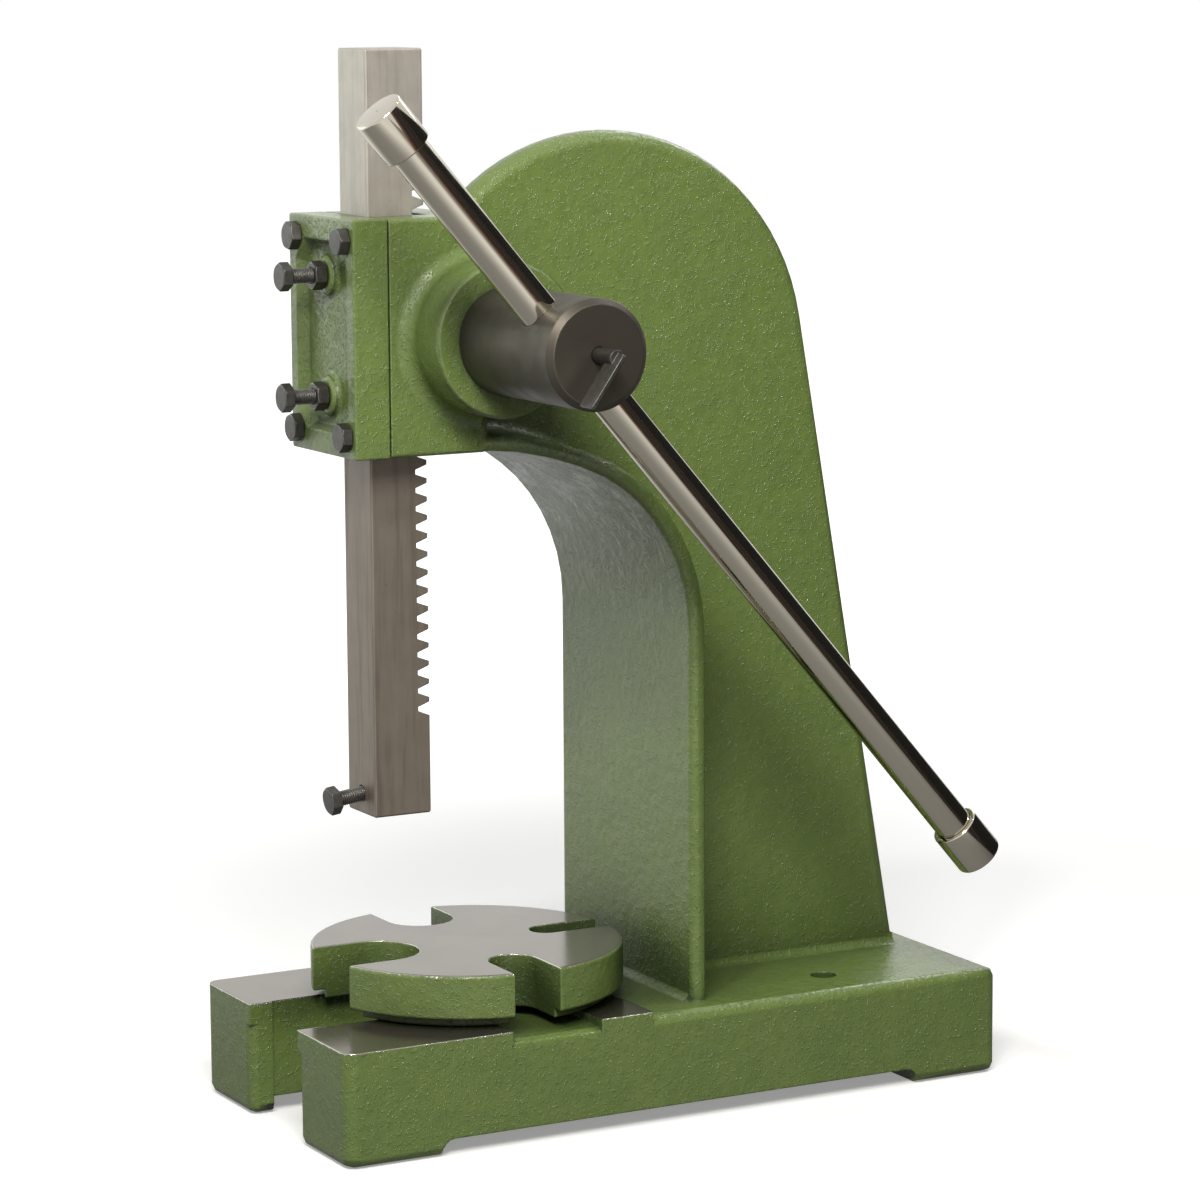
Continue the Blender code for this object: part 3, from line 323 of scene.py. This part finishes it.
class Finish(Shader):
    """A material: its position, its shared effects and its one Principled shader."""

    def __init__(self, name):
        self.material = bpy.data.materials.new(name)
        self.material.use_nodes = True
        super().__init__(self.material.node_tree)
        self.place = self.position()

    def shared(self, name, **values):
        group = bpy.data.node_groups[name]
        labels = {label.replace("_", " ").capitalize(): value for label, value in values.items()}
        return self.add("ShaderNodeGroup", {"Place": self.place, **labels}, node_tree=group).outputs

    def bump(self, height, depth, normal=None):
        values = {"Height": height, "Distance": depth, "Strength": 1.0}
        if normal:
            values["Normal"] = normal
        return self.add("ShaderNodeBump", values).outputs[0]

    def done(self, values):
        shader = self.add("ShaderNodeBsdfPrincipled", values)
        output = self.add("ShaderNodeOutputMaterial")
        self.tree.links.new(shader.outputs[0], output.inputs["Surface"])
        return self.material


def painted_iron(name, bare_height, line):
    """Enamel on rough iron with painted shade in its corners, and a machined face, chipped at its edge,
    at the bare height above the bench. Behind the plate no face is bare, and near the bench there is no painted shade."""
    paint, steel = settings().paint, settings().steel
    made = Finish(name)
    place = made.add("ShaderNodeSeparateXYZ", {0: made.place}).outputs
    up = place["Z"]
    grain = made.shared("cast_grain", size=paint.grain_size)
    edge = made.shared("edge_wear", width=0.0015, patch=0.003)

    # Thick in the hollows and in slow patches, thin on the edges and the grains
    thick = made.ramp(grain["Height"], 0.35, 0.6, 0.5, 0.0)
    thick = made.math("ADD", thick, made.math("MULTIPLY", grain["Mottle"], 0.4))
    colour = made.mix(thick, paint.colour, paint.thick_colour)
    thin_edge = made.math("MULTIPLY", edge["Mask"], 0.45)
    thin = made.math("MAXIMUM", thin_edge, made.math("MULTIPLY", grain["Grains"], 0.07))
    colour = made.mix(thin, colour, paint.thin_colour)
    # Painted shade: the colour darkens where ambient occlusion finds neighbours near, as in corners and between parts,
    # fading out near the bench; the roughness rises there too
    open_air = made.add("ShaderNodeAmbientOcclusion", {"Distance": paint.corner_shade_reach}, samples=8).outputs["AO"]
    corner_shade = made.math("MULTIPLY", made.ramp(open_air, 0.35, 0.8, 0.85, 0.0), made.ramp(up, 0.035, 0.06))
    colour = made.mix(corner_shade, colour, paint.corner_shade_colour)

    # Bare where a face looks up at the bare height, and in chips that reach a little below it
    facing = made.add("ShaderNodeSeparateXYZ", {0: made.add("ShaderNodeNewGeometry").outputs["Normal"]}).outputs["Z"]
    chips = made.ramp(made.noise(made.place, 0.0022, 3.0, 0.7), 0.52, 0.72)
    reach = made.math("MULTIPLY", made.math("ADD", chips, 0.35), paint.chip_width)
    above = made.math("SUBTRACT", made.math("ADD", up, reach), bare_height)
    skin = paint.chip_width / 6
    chipped = made.ramp(above, -skin / 2, skin / 2)
    level = made.ramp(up, bare_height - skin, bare_height - skin / 2)
    top = made.math("MULTIPLY", level, made.ramp(facing, 0.8, 0.95))
    near = made.math("LESS_THAN", place["Y"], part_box("work_plate")[1].y + skin)
    below_top = made.math("MULTIPLY", near, made.math("LESS_THAN", up, bare_height + skin))
    bare = made.math("MULTIPLY", made.math("MAXIMUM", top, chipped), below_top)

    marks = made.shared("tool_marks", line=line, patch=0.03)
    metal = made.mix(marks["Tone"], steel.machined_colour, tuple(0.9 * c for c in steel.machined_colour))
    metal = made.mix(made.ramp(marks["Height"], 0.6, 0.8, 0.0, 0.12), metal, steel.oxide_colour)
    fresh = made.math("MULTIPLY", chipped, made.math("SUBTRACT", 1.0, top))
    metal = made.mix(fresh, metal, paint.chip_colour)

    rough = made.math("ADD", paint.roughness, made.math("MULTIPLY", corner_shade, 0.3))
    height = made.blend(bare, grain["Height"], made.math("MULTIPLY", marks["Height"], 0.04))
    return made.done({
        # The bare metal gets the same painted shade in its corners
        "Base Color": made.mix(bare, colour, made.mix(corner_shade, metal, paint.corner_shade_colour)),
        "Metallic": made.math("MULTIPLY", bare, 0.8),
        "Roughness": made.blend(bare, rough, made.ramp(marks["Height"], 0.3, 0.7, 0.13, 0.2)),
        "Specular IOR Level": 0.5,
        "Normal": made.bump(height, paint.grain_depth, edge["Normal"]),
    })


def ground_steel():
    """The ram's steel: ground along its length, painted darker from the head's top downwards as painted shade, with
    stains and small dents.
    """
    steel = settings().steel
    made = Finish("ground_steel_finish")
    marks = made.shared("tool_marks", line=(0.0007, 0.0007, 0.014), patch=0.03)
    streaks = made.shared("tool_marks", line=(0.006, 0.006, 0.09), patch=0.012)
    edge = made.shared("edge_wear", width=0.0009, patch=0.012)
    up = made.add("ShaderNodeSeparateXYZ", {0: made.place}).outputs["Z"]
    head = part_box("ram_cover")
    # Painted shade: darker from the head's top down to the head's bottom; the same share also makes the stains
    # stronger lower down
    shade_and_stain_below = made.ramp(up, head[0].z, head[1].z, 1.0, 0.0)
    colour = made.mix(shade_and_stain_below, steel.ground_colour, steel.lower_shade_colour)
    stained = made.math("MULTIPLY", made.ramp(streaks["Height"], 0.42, 0.72), made.blend(shade_and_stain_below, 0.18, 0.4))
    colour = made.mix(stained, colour, steel.oxide_colour)
    colour = made.mix(made.math("MULTIPLY", streaks["Tone"], 0.12), colour, steel.oxide_colour)
    specks = made.ramp(made.noise(made.place, 0.0018, 2.0), 0.72, 0.78)
    colour = made.mix(made.math("MULTIPLY", specks, 0.5), colour, steel.oxide_colour)
    colour = made.mix(made.math("MULTIPLY", edge["Mask"], 0.7), colour, steel.ground_colour)
    return made.done({
        "Base Color": colour,
        "Metallic": 0.55,
        "Roughness": made.ramp(marks["Height"], 0.3, 0.7, 0.42, 0.52),
        "Normal": made.bump(marks["Height"], 0.000012, edge["Normal"]),
    })


def black_oxide():
    """The hub's black oxide over turned steel: fine turning lines, and a softer bare edge."""
    steel = settings().steel
    made = Finish("black_oxide_finish")
    rings = made.shared("tool_marks", line=(0.00045, 0.02, 0.02), patch=0.016)
    edge = made.shared("edge_wear", width=0.0012, patch=0.01)
    colour = made.mix(rings["Tone"], steel.oxide_colour, tuple(0.8 * c for c in steel.oxide_colour))
    colour = made.mix(made.math("MULTIPLY", edge["Mask"], 0.35), colour, steel.worn_colour)
    return made.done({
        "Base Color": colour,
        "Metallic": 0.7,
        "Roughness": made.ramp(rings["Tone"], 0.0, 1.0, 0.4, 0.48),
        "Normal": made.bump(rings["Height"], 0.000012, edge["Normal"]),
    })


def fastener_steel():
    """Screws and nuts: dark oxide, rubbed bright along the edges and the crests of the threads."""
    steel = settings().steel
    made = Finish("fastener_finish")
    marks = made.shared("tool_marks", line=(0.0004, 0.003, 0.0004), patch=0.004)
    edge = made.shared("edge_wear", width=0.00035, patch=0.006)
    colour = made.mix(marks["Tone"], steel.fastener_colour, tuple(0.7 * c for c in steel.fastener_colour))
    colour = made.mix(edge["Mask"], colour, steel.worn_colour)
    return made.done({
        "Base Color": colour,
        "Metallic": 0.8,
        "Roughness": made.ramp(marks["Height"], 0.3, 0.7, 0.34, 0.5),
        "Normal": made.bump(marks["Height"], 0.00001, edge["Normal"]),
    })


def bright_chrome():
    """The lever's chrome, with faint marks from handling."""
    steel = settings().steel
    made = Finish("bright_chrome_finish")
    marks = made.shared("tool_marks", line=(0.003, 0.003, 0.003), patch=0.02)
    return made.done({
        "Base Color": steel.chrome_colour,
        "Metallic": 1.0,
        "Roughness": made.ramp(marks["Tone"], 0.0, 1.0, 0.07, 0.13),
        "Normal": made.bump(marks["Tone"], 0.00001),
    })


FINISHES = {
    "casting": lambda: painted_iron("casting_finish", pad_height(), (0.03, 0.0005, 0.03)),
    "plate": lambda: painted_iron("plate_finish", plate_top(), (0.0005, 0.03, 0.03)),
    "ground_steel": ground_steel,
    "black_oxide": black_oxide,
    "fastener": fastener_steel,
    "chrome": bright_chrome,
}
ready = {}


def finish(name):
    if name not in ready:
        ready[name] = FINISHES[name]()
    return ready[name]


# Shapes


def pad_height():
    """The machined pads' height, which the underside of the plate's ring clears by a little."""
    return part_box("work_plate")[0].z - 0.0003


def plate_top():
    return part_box("work_plate")[1].z


def middle_of(node):
    low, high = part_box(node)
    return (low + high) / 2


def place_along(axis, origin, turn=0.0):
    """A matrix whose third column is the axis, with its origin, turned about that axis."""
    turned = Vector((0, 0, 1)).rotation_difference(Vector(axis)).to_matrix().to_4x4()
    return Matrix.Translation(origin) @ turned @ Matrix.Rotation(turn, 4, "Z")


def placed(points, matrix):
    """Points carried by the matrix: its turned part times each point, plus its origin."""
    matrix = np.array(matrix)
    return points @ matrix[:3, :3].T + matrix[:3, 3]


def grid_faces(rows, columns, closed_rows):
    """The quads of a grid that is closed across its columns and, if asked, from its last row to its first."""
    row = np.arange(rows if closed_rows else rows - 1)[:, None]
    column = np.arange(columns)[None, :]
    after, beside = (row + 1) % rows, (column + 1) % columns
    corners = (row * columns + column, row * columns + beside, after * columns + beside, after * columns + column)
    return np.stack(corners, axis=-1).reshape(-1, 4)


def skin(name, grids, ring=False):
    """One mesh from grids of points [row, column, xyz], each closed round its columns. The first and last rows
    are faces of their own, or are joined to each other where the grid is a ring."""
    points, faces = [], []
    start = 0
    for grid in grids:
        rows, columns = grid.shape[:2]
        points.append(grid.reshape(-1, 3))
        faces += (grid_faces(rows, columns, ring) + start).tolist()
        if not ring:
            faces.append(list(range(start + columns - 1, start - 1, -1)))
            faces.append(list(range(start + (rows - 1) * columns, start + rows * columns)))
        start += rows * columns
    mesh = bpy.data.meshes.new(name)
    mesh.from_pydata(np.concatenate(points).tolist(), [], faces)
    return solid(name, mesh)


def solid(name, mesh):
    """An object whose faces point outwards, smooth but for its sharp edges."""
    work = bmesh.new()
    work.from_mesh(mesh)
    bmesh.ops.recalc_face_normals(work, faces=work.faces)
    work.to_mesh(mesh)
    work.free()
    mesh.shade_smooth()
    mesh.set_sharp_from_angle(angle=SHARP_ANGLE)
    made = bpy.data.objects.new(name, mesh)
    bpy.context.scene.collection.objects.link(made)
    return made


def fitted(piece, look, slot, body, *nodes):
    """Gives a piece its finish and body, and lets it stand for its nodes. Its slot argument is not used."""
    piece.data.materials.clear()
    piece.data.materials.append(finish(look))
    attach(piece, body)
    if nodes:
        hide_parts(*nodes)
    return piece


def merged_copy(name, node, edge=0.0):
    """A node's mesh with its loose triangles joined and its flat faces made whole, and its edges rounded."""
    mesh = frame["nodes"][node].data.copy()
    mesh.name = name
    work = bmesh.new()
    work.from_mesh(mesh)
    bmesh.ops.remove_doubles(work, verts=work.verts, dist=MERGE_DISTANCE)
    bmesh.ops.dissolve_limit(work, angle_limit=FLAT_ANGLE, verts=work.verts, edges=work.edges)
    work.to_mesh(mesh)
    work.free()
    made = solid(name, mesh)
    if edge:
        bevel = made.modifiers.new("rounded_edges", "BEVEL")
        bevel.width = edge
        bevel.segments = 2
        bevel.limit_method = "ANGLE"
        bevel.angle_limit = ROUNDED_ANGLE
        bevel.use_clamp_overlap = True
    flat = made.modifiers.new("flat_faces", "WEIGHTED_NORMAL")
    flat.keep_sharp = True
    return made


def turned_grid(profile):
    """A surface of revolution: each row holds the circle of one (radius, height) of the profile."""
    profile = np.array(profile, float)
    turn = np.linspace(0, 2 * np.pi, ROUND_STEPS, endpoint=False)
    radius, height = profile[:, :1], profile[:, 1:]
    return np.stack([radius * np.cos(turn), radius * np.sin(turn), height + 0 * turn], axis=-1)


def round_over(radius, height, edge, outward, steps=5):
    """A quarter circle of (radius, height) round a corner, from the side to the end face that outward points to."""
    turn = np.linspace(0, np.pi / 2, steps)
    return np.stack([radius - edge + edge * np.cos(turn), height + outward * edge * (np.sin(turn) - 1)], axis=-1)


def hexagon_radius(turn, flats):
    """How far the hexagon reaches at each angle: half its width over the largest of the six cosines, taken as a
    high power mean so that the corners come out a little round."""
    sharpness = 70
    ways = np.arange(6) * np.pi / 3
    cosines = np.clip(np.cos(turn[:, None] - ways[None, :]), 0, None)
    return flats / 2 / (cosines**sharpness).sum(axis=1) ** (1 / sharpness)


def hexagon_grid(low, high, chamfers, flats, edge):
    """A hexagon prism whose reach is the lesser of the hexagon's and a cone's at each chamfered end. The lesser is
    again a power mean, and the end faces meet the sides in a small round."""
    turn = np.linspace(0, 2 * np.pi, ROUND_STEPS, endpoint=False)
    hexagon = hexagon_radius(turn, flats)
    slope = math.tan(math.radians(30))
    rise = (np.arange(9) / 8) ** 1.5 * settings().fasteners.chamfer
    heights = np.concatenate([low + rise, high - rise[::-1]])
    cone = np.full(len(heights), flats)
    reach = flats / 2 * 0.985
    if "low" in chamfers:
        cone = np.minimum(cone, reach + (heights - low) / slope)
    if "high" in chamfers:
        cone = np.minimum(cone, reach + (high - heights) / slope)
    power = 60
    radius = (hexagon[None, :] ** -power + cone[:, None] ** -power) ** (-1 / power)
    rows = [radius[0] - edge * 2, radius[0] - edge * 0.3, *radius, radius[-1] - edge * 0.3, radius[-1] - edge * 2]
    levels = [low, low + edge * 0.05, *heights, high - edge * 0.05, high]
    levels[2], levels[-3] = low + edge * 0.35, high - edge * 0.35
    radius = np.stack(rows)
    height = np.array(levels)[:, None] + 0 * radius
    return np.stack([radius * np.cos(turn), radius * np.sin(turn), height], axis=-1)


def threaded_grid(low, high):
    """A threaded rod: the radius falls from the crest by the thread's depth as a softened triangle wave of the
    height over the pitch less the turn, and both ends are chamfered."""
    sizes = settings().fasteners
    crest, depth, pitch = sizes.thread_radius, sizes.thread_depth, sizes.thread_pitch
    count = max(int((high - low) / pitch * ROWS_PER_THREAD), 2)
    height = np.linspace(low, high, count)[:, None]
    turn = np.linspace(0, 2 * np.pi, THREAD_STEPS, endpoint=False)[None, :]
    phase = (height / pitch - turn / (2 * np.pi)) % 1
    wave = np.clip(np.abs(2 * phase - 1) * 1.25 - 0.1, 0, 1)
    chamfer = np.clip(np.minimum(height - low, high - height) / depth, 0, 1)
    radius = (crest - depth * wave) * (1 - (1 - chamfer) * depth / crest)
    return np.stack([radius * np.cos(turn), radius * np.sin(turn), height + 0 * turn], axis=-1)


def screw_grids(head_low, head_high, tip):
    """A hexagon screw along +Z: its threaded shank from the tip up into its head."""
    sizes = settings().fasteners
    head = hexagon_grid(head_low, head_high, ("high",), sizes.across_flats, sizes.edge_radius)
    return [head, threaded_grid(tip, (head_low + head_high) / 2)]


def screw(name, matrix, length):
    """A hexagon screw whose head stands on the matrix's origin and points along its axis."""
    grids = screw_grids(0, settings().fasteners.head_height, -length)
    return skin(name, [placed(grid, matrix) for grid in grids])


# Operators


class ARBORPRESS_OT_casting(Operator):
    """Dress the frame's casting in enamel, with bare pads"""

    bl_idname = "arbor_press.casting"
    bl_label = "Frame Casting"

    def execute(self, context):
        fitted(merged_copy("frame_body", "frame_casting"), "casting", "green_paint", "frame", "frame_casting")
        return {"FINISHED"}


class ARBORPRESS_OT_cover(Operator):
    """Dress the cover over the ram's channel"""

    bl_idname = "arbor_press.cover"
    bl_label = "Ram Cover"

    def execute(self, context):
        fitted(merged_copy("channel_cover", "ram_cover", SOFT_EDGE), "casting", "green_paint", "frame", "ram_cover")
        return {"FINISHED"}


class ARBORPRESS_OT_ram(Operator):
    """Dress the ram and its rack in ground steel, with its set screw and the gib strip"""

    bl_idname = "arbor_press.ram"
    bl_label = "Ram"

    def execute(self, context):
        fitted(merged_copy("rack_ram", "ram"), "ground_steel", "ground_steel", "ram", "ram")
        fitted(merged_copy("gib", "gib_strip", SOFT_EDGE), "ground_steel", "ground_steel", "frame", "gib_strip")
        joint, sizes = JOINTS["ram_set_screw_turn"], settings().fasteners
        axis = Vector(joint["axis"])
        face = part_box("ram")[0].y
        origin = Vector(joint["pos_m"])
        origin += axis * ((face - origin.y) / axis.y + sizes.set_screw_reach)
        length = sizes.set_screw_reach + sizes.set_screw_grip
        piece = screw("set_screw", place_along(axis, origin, SET_SCREW_TURN), length)
        fitted(piece, "fastener", "fastener_steel", "ram_set_screw", "ram_set_screw")
        return {"FINISHED"}


class ARBORPRESS_OT_hub(Operator):
    """Dress the pinion shaft with its hub, and the washer on its tail"""

    bl_idname = "arbor_press.hub"
    bl_label = "Pinion and Hub"

    def execute(self, context):
        piece = merged_copy("pinion_and_hub", "pinion_shaft", FINE_EDGE)
        fitted(piece, "black_oxide", "black_steel", "pinion", "pinion_shaft")
        piece = merged_copy("shaft_washer", "tail_washer", FINE_EDGE)
        fitted(piece, "black_oxide", "black_steel", "pinion", "tail_washer")
        return {"FINISHED"}


class ARBORPRESS_OT_lever(Operator):
    """Make the lever's rod and the caps on its ends"""

    bl_idname = "arbor_press.lever"
    bl_label = "Lever"

    def execute(self, context):
        axis = Vector(JOINTS["lever_slide"]["axis"])
        origin = Vector(JOINTS["pinion_turn"]["pos_m"])
        origin.x = middle_of("lever_rod").x
        low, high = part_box("lever_rod")
        radius = (high.x - low.x) / 2
        spread = radius * abs(axis.y)
        top = (high.z - origin.z - spread) / axis.z
        bottom = (low.z - origin.z + spread) / axis.z
        matrix = place_along(axis, origin)
        rod = turned_grid([(radius, bottom), (radius, top)])
        fitted(skin("lever_bar", [placed(rod, matrix)]), "chrome", "chrome", "lever", "lever_rod")
        sizes = settings().lever
        for name, end, outward in (("upper", top, 1), ("lower", bottom, -1)):
            node = f"lever_cap_{name}"
            low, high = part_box(node)
            wide = (high.x - low.x) / 2
            face = end + outward * sizes.cap_wall
            mouth = face - outward * sizes.cap_length
            bottom_of_bore, bore = end + outward * sizes.cap_gap, radius + sizes.cap_gap
            mouth_edge = round_over(wide, mouth, sizes.cap_edge * 0.8, -outward)[::-1]
            outer = [*mouth_edge, *round_over(wide, face, sizes.cap_edge, outward)]
            inner = [(FINE_EDGE, face), (FINE_EDGE, bottom_of_bore), (bore, bottom_of_bore), (bore, mouth)]
            grid = turned_grid([*outer, *inner])
            piece = skin(f"{name}_cap", [placed(grid, matrix)], ring=True)
            fitted(piece, "chrome", "chrome", "lever", node)
        return {"FINISHED"}


class ARBORPRESS_OT_clamp(Operator):
    """Make the screw that clamps the lever, with its flat bar"""

    bl_idname = "arbor_press.clamp"
    bl_label = "Clamp Screw"

    def execute(self, context):
        piece = merged_copy("clamp_screw_and_bar", "lever_clamp_screw", SOFT_EDGE)
        fitted(piece, "fastener", "fastener_steel", "clamp_screw", "lever_clamp_screw")
        return {"FINISHED"}


class ARBORPRESS_OT_plate(Operator):
    """Dress the work plate, with its machined top and chipped rim, and the pin it turns on"""

    bl_idname = "arbor_press.plate"
    bl_label = "Work Plate"

    def execute(self, context):
        piece = merged_copy("slotted_plate", "work_plate", SOFT_EDGE)
        fitted(piece, "plate", "plate_iron", "work_plate", "work_plate")
        piece = merged_copy("pivot_pin", "plate_pivot_pin", FINE_EDGE)
        fitted(piece, "ground_steel", "ground_steel", "frame", "plate_pivot_pin")
        return {"FINISHED"}


class ARBORPRESS_OT_screws(Operator):
    """Make the cover's bolts, the gib screws with their lock nuts, and the bolt in the shaft's tail"""

    bl_idname = "arbor_press.screws"
    bl_label = "Screws and Nuts"

    def execute(self, context):
        sizes = settings().fasteners
        heads = {f"cover_bolt_{i}": BOLT_TURN * i for i in range(1, 5)}
        heads.update(gib_screw_upper=0.0, gib_screw_lower=0.0)
        for node, turn in heads.items():
            low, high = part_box(node)
            middle = (low + high) / 2
            origin = Vector((middle.x, low.y + sizes.head_height, middle.z))
            matrix = place_along((0, -1, 0), origin, turn)
            piece = screw(node.replace("cover", "cover_hex").replace("gib", "gib_hex"), matrix, high.y - origin.y)
            fitted(piece, "fastener", "fastener_steel", "frame", node)
        for node in ("lock_nut_upper", "lock_nut_lower"):
            low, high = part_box(node)
            middle = (low + high) / 2
            matrix = place_along((0, -1, 0), (middle.x, high.y, middle.z), NUT_TURN)
            outer = hexagon_grid(0, high.y - low.y, ("low", "high"), sizes.across_flats, sizes.edge_radius)
            reach = sizes.thread_radius + sizes.bore_gap
            bore = turned_grid([(reach, high.y - low.y), (reach, 0)])
            piece = skin(node.replace("lock", "lock_hex"), [placed(np.concatenate([outer, bore]), matrix)], ring=True)
            fitted(piece, "fastener", "fastener_steel", "frame", node)
        low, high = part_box("tail_bolt")
        middle = (low + high) / 2
        origin = Vector((low.x + sizes.head_height, middle.y, middle.z))
        piece = screw("tail_hex_bolt", place_along((-1, 0, 0), origin), high.x - origin.x)
        fitted(piece, "fastener", "fastener_steel", "pinion", "tail_bolt")
        return {"FINISHED"}


def staged(name, corners):
    """A flat four-cornered piece of the stage."""
    mesh = bpy.data.meshes.new(name)
    mesh.from_pydata(corners, [], [(0, 1, 2, 3)])
    made = bpy.data.objects.new(name, mesh)
    bpy.context.scene.collection.objects.link(made)
    return made


def make_floor():
    """A pale floor that keeps the shadow. Reflections see it dark near the press and behind it."""
    choice, reach = settings().stage, FLOOR_REACH
    floor = staged("floor", [(-reach, -reach, 0), (reach, -reach, 0), (reach, reach, 0), (-reach, reach, 0)])
    floor.location.z = -FLOOR_DROP
    made = Finish("floor_finish")
    path = made.add("ShaderNodeLightPath").outputs
    seen = made.math("MAXIMUM", path["Is Camera Ray"], path["Is Glossy Ray"])
    away = made.add("ShaderNodeVectorMath", {0: made.place}, operation="LENGTH").outputs["Value"]
    plain = made.ramp(away, 0.45, 1.4, 0.28, 1.0)
    spot = made.add("ShaderNodeSeparateXYZ", {0: made.place}).outputs
    left = made.ramp(spot["X"], -0.85, -0.1, 0.9, 0.2)
    right = made.ramp(spot["X"], 0.3, 1.3, 0.2, 1.0)
    front = made.ramp(spot["Y"], -0.2, 0.35, 1.0, 0.25)
    reflected = made.math("MULTIPLY", made.math("MAXIMUM", left, right), front)
    glow = made.blend(path["Is Glossy Ray"], plain, reflected)
    dim = tuple(choice.bounce * c for c in choice.floor_colour)
    floor.data.materials.append(made.done({
        "Base Color": made.mix(path["Is Camera Ray"], dim, choice.floor_colour),
        "Roughness": 0.9,
        "Emission Color": (1.0, 1.0, 1.0),
        "Emission Strength": made.math("MULTIPLY", seen, glow),
    }))


def make_dark_card():
    """A card that only reflections see, glowing reddish at its right end, then brown with pale lines, then black: a
    painted reflection for the lever's chrome.
    """
    corners = [(*CARD_RIGHT, 0), (*CARD_LEFT, 0), (*CARD_LEFT, CARD_HEIGHT), (*CARD_RIGHT, CARD_HEIGHT)]
    card = staged("dark_card", corners)
    made = Finish("card_finish")
    along = made.vector("DOT_PRODUCT", made.vector("SUBTRACT", made.place, corners[0]), CARD_WAY)
    upright = made.vector("MULTIPLY", made.place, (1.0, 1.0, 0.0))
    lines = made.ramp(made.noise(upright, 0.05, 2.0), 0.6, 0.7)
    shown = made.mix(lines, (0.024, 0.014, 0.011), (0.24, 0.19, 0.17))
    shown = made.mix(made.ramp(along, 0.05, 0.16), (0.34, 0.13, 0.07), shown)
    shown = made.mix(made.ramp(along, 0.7, 0.9), shown, (0.003, 0.003, 0.003))
    # The card's glow paints the reflected bands on the chrome
    card.data.materials.append(made.done({
        "Base Color": (0, 0, 0),
        "Roughness": 1.0,
        "Emission Color": shown,
        "Emission Strength": 1.0,
    }))
    card.visible_camera = card.visible_diffuse = card.visible_shadow = False


def make_lamps():
    for name, (place, size, colour) in LAMPS.items():
        light = bpy.data.lights.new(f"{name}_lamp", "AREA")
        light.shape = "RECTANGLE"
        light.size, light.size_y = size
        light.energy = getattr(settings().stage, f"{name}_power")
        light.color = colour
        made = bpy.data.objects.new(light.name, light)
        made.location = place
        made.rotation_euler = (Vector(LIT_POINT) - Vector(place)).to_track_quat("-Z", "Y").to_euler()
        bpy.context.scene.collection.objects.link(made)


def make_world():
    """Soft light from all round, which the camera and reflections see as white."""
    world = bpy.data.worlds.new("studio")
    bpy.context.scene.world = world
    world.use_nodes = True
    shader = Shader(world.node_tree)
    path = shader.add("ShaderNodeLightPath").outputs
    seen = shader.math("MAXIMUM", path["Is Camera Ray"], path["Is Glossy Ray"])
    seen = shader.math("MAXIMUM", seen, path["Is Transmission Ray"])
    values = {"Color": (1.0, 1.0, 1.0), "Strength": shader.blend(seen, settings().stage.ambient, 1.0)}
    background = shader.add("ShaderNodeBackground", values)
    output = shader.add("ShaderNodeOutputWorld")
    shader.tree.links.new(background.outputs[0], output.inputs["Surface"])


def make_camera():
    view = bpy.data.cameras.new("camera")
    view.sensor_width = CAMERA_SENSOR
    view.lens = CAMERA_LENS
    camera = bpy.data.objects.new("camera", view)
    axes = Matrix((CAMERA_RIGHT, CAMERA_UP, CAMERA_BACK)).transposed()
    camera.matrix_world = Matrix.Translation(CAMERA_PLACE) @ axes.to_4x4()
    bpy.context.scene.collection.objects.link(camera)
    bpy.context.scene.camera = camera


class ARBORPRESS_OT_stage(Operator):
    """Make the floor, the dark card that the chrome shows, the lamps, the world and the camera"""

    bl_idname = "arbor_press.stage"
    bl_label = "Stage"

    def execute(self, context):
        make_floor()
        make_dark_card()
        make_lamps()
        make_world()
        make_camera()
        context.scene.view_settings.view_transform = "Standard"
        return {"FINISHED"}


class ARBORPRESS_PT_sidebar(Panel):
    """The press's settings and the operators that build it"""

    bl_label = "Arbor Press"
    bl_idname = "ARBORPRESS_PT_sidebar"
    bl_space_type = "VIEW_3D"
    bl_region_type = "UI"
    bl_category = "Arbor Press"

    def draw(self, context):
        for operator in OPERATORS:
            self.layout.operator(operator.bl_idname)
        for group in ("paint", "steel", "fasteners", "lever", "stage"):
            box = self.layout.box()
            box.label(text=group.capitalize())
            chosen = getattr(settings(), group)
            for name in chosen.__annotations__:
                box.prop(chosen, name)


GROUPS = (PaintSettings, SteelSettings, FastenerSettings, LeverSettings, StageSettings, PressSettings)
OPERATORS = (
    ARBORPRESS_OT_casting,
    ARBORPRESS_OT_cover,
    ARBORPRESS_OT_ram,
    ARBORPRESS_OT_hub,
    ARBORPRESS_OT_lever,
    ARBORPRESS_OT_clamp,
    ARBORPRESS_OT_plate,
    ARBORPRESS_OT_screws,
    ARBORPRESS_OT_stage,
)


def register():
    for made in (*GROUPS, *OPERATORS, ARBORPRESS_PT_sidebar):
        bpy.utils.register_class(made)
    bpy.types.Scene.arbor_press = PointerProperty(type=PressSettings)


def unregister():
    del bpy.types.Scene.arbor_press
    for made in reversed((*GROUPS, *OPERATORS, ARBORPRESS_PT_sidebar)):
        bpy.utils.unregister_class(made)


def main():
    register()
    make_effects()
    for operator in OPERATORS:
        group, name = operator.bl_idname.split(".")
        getattr(getattr(bpy.ops, group), name)()


if __name__ == "__main__":
    main()
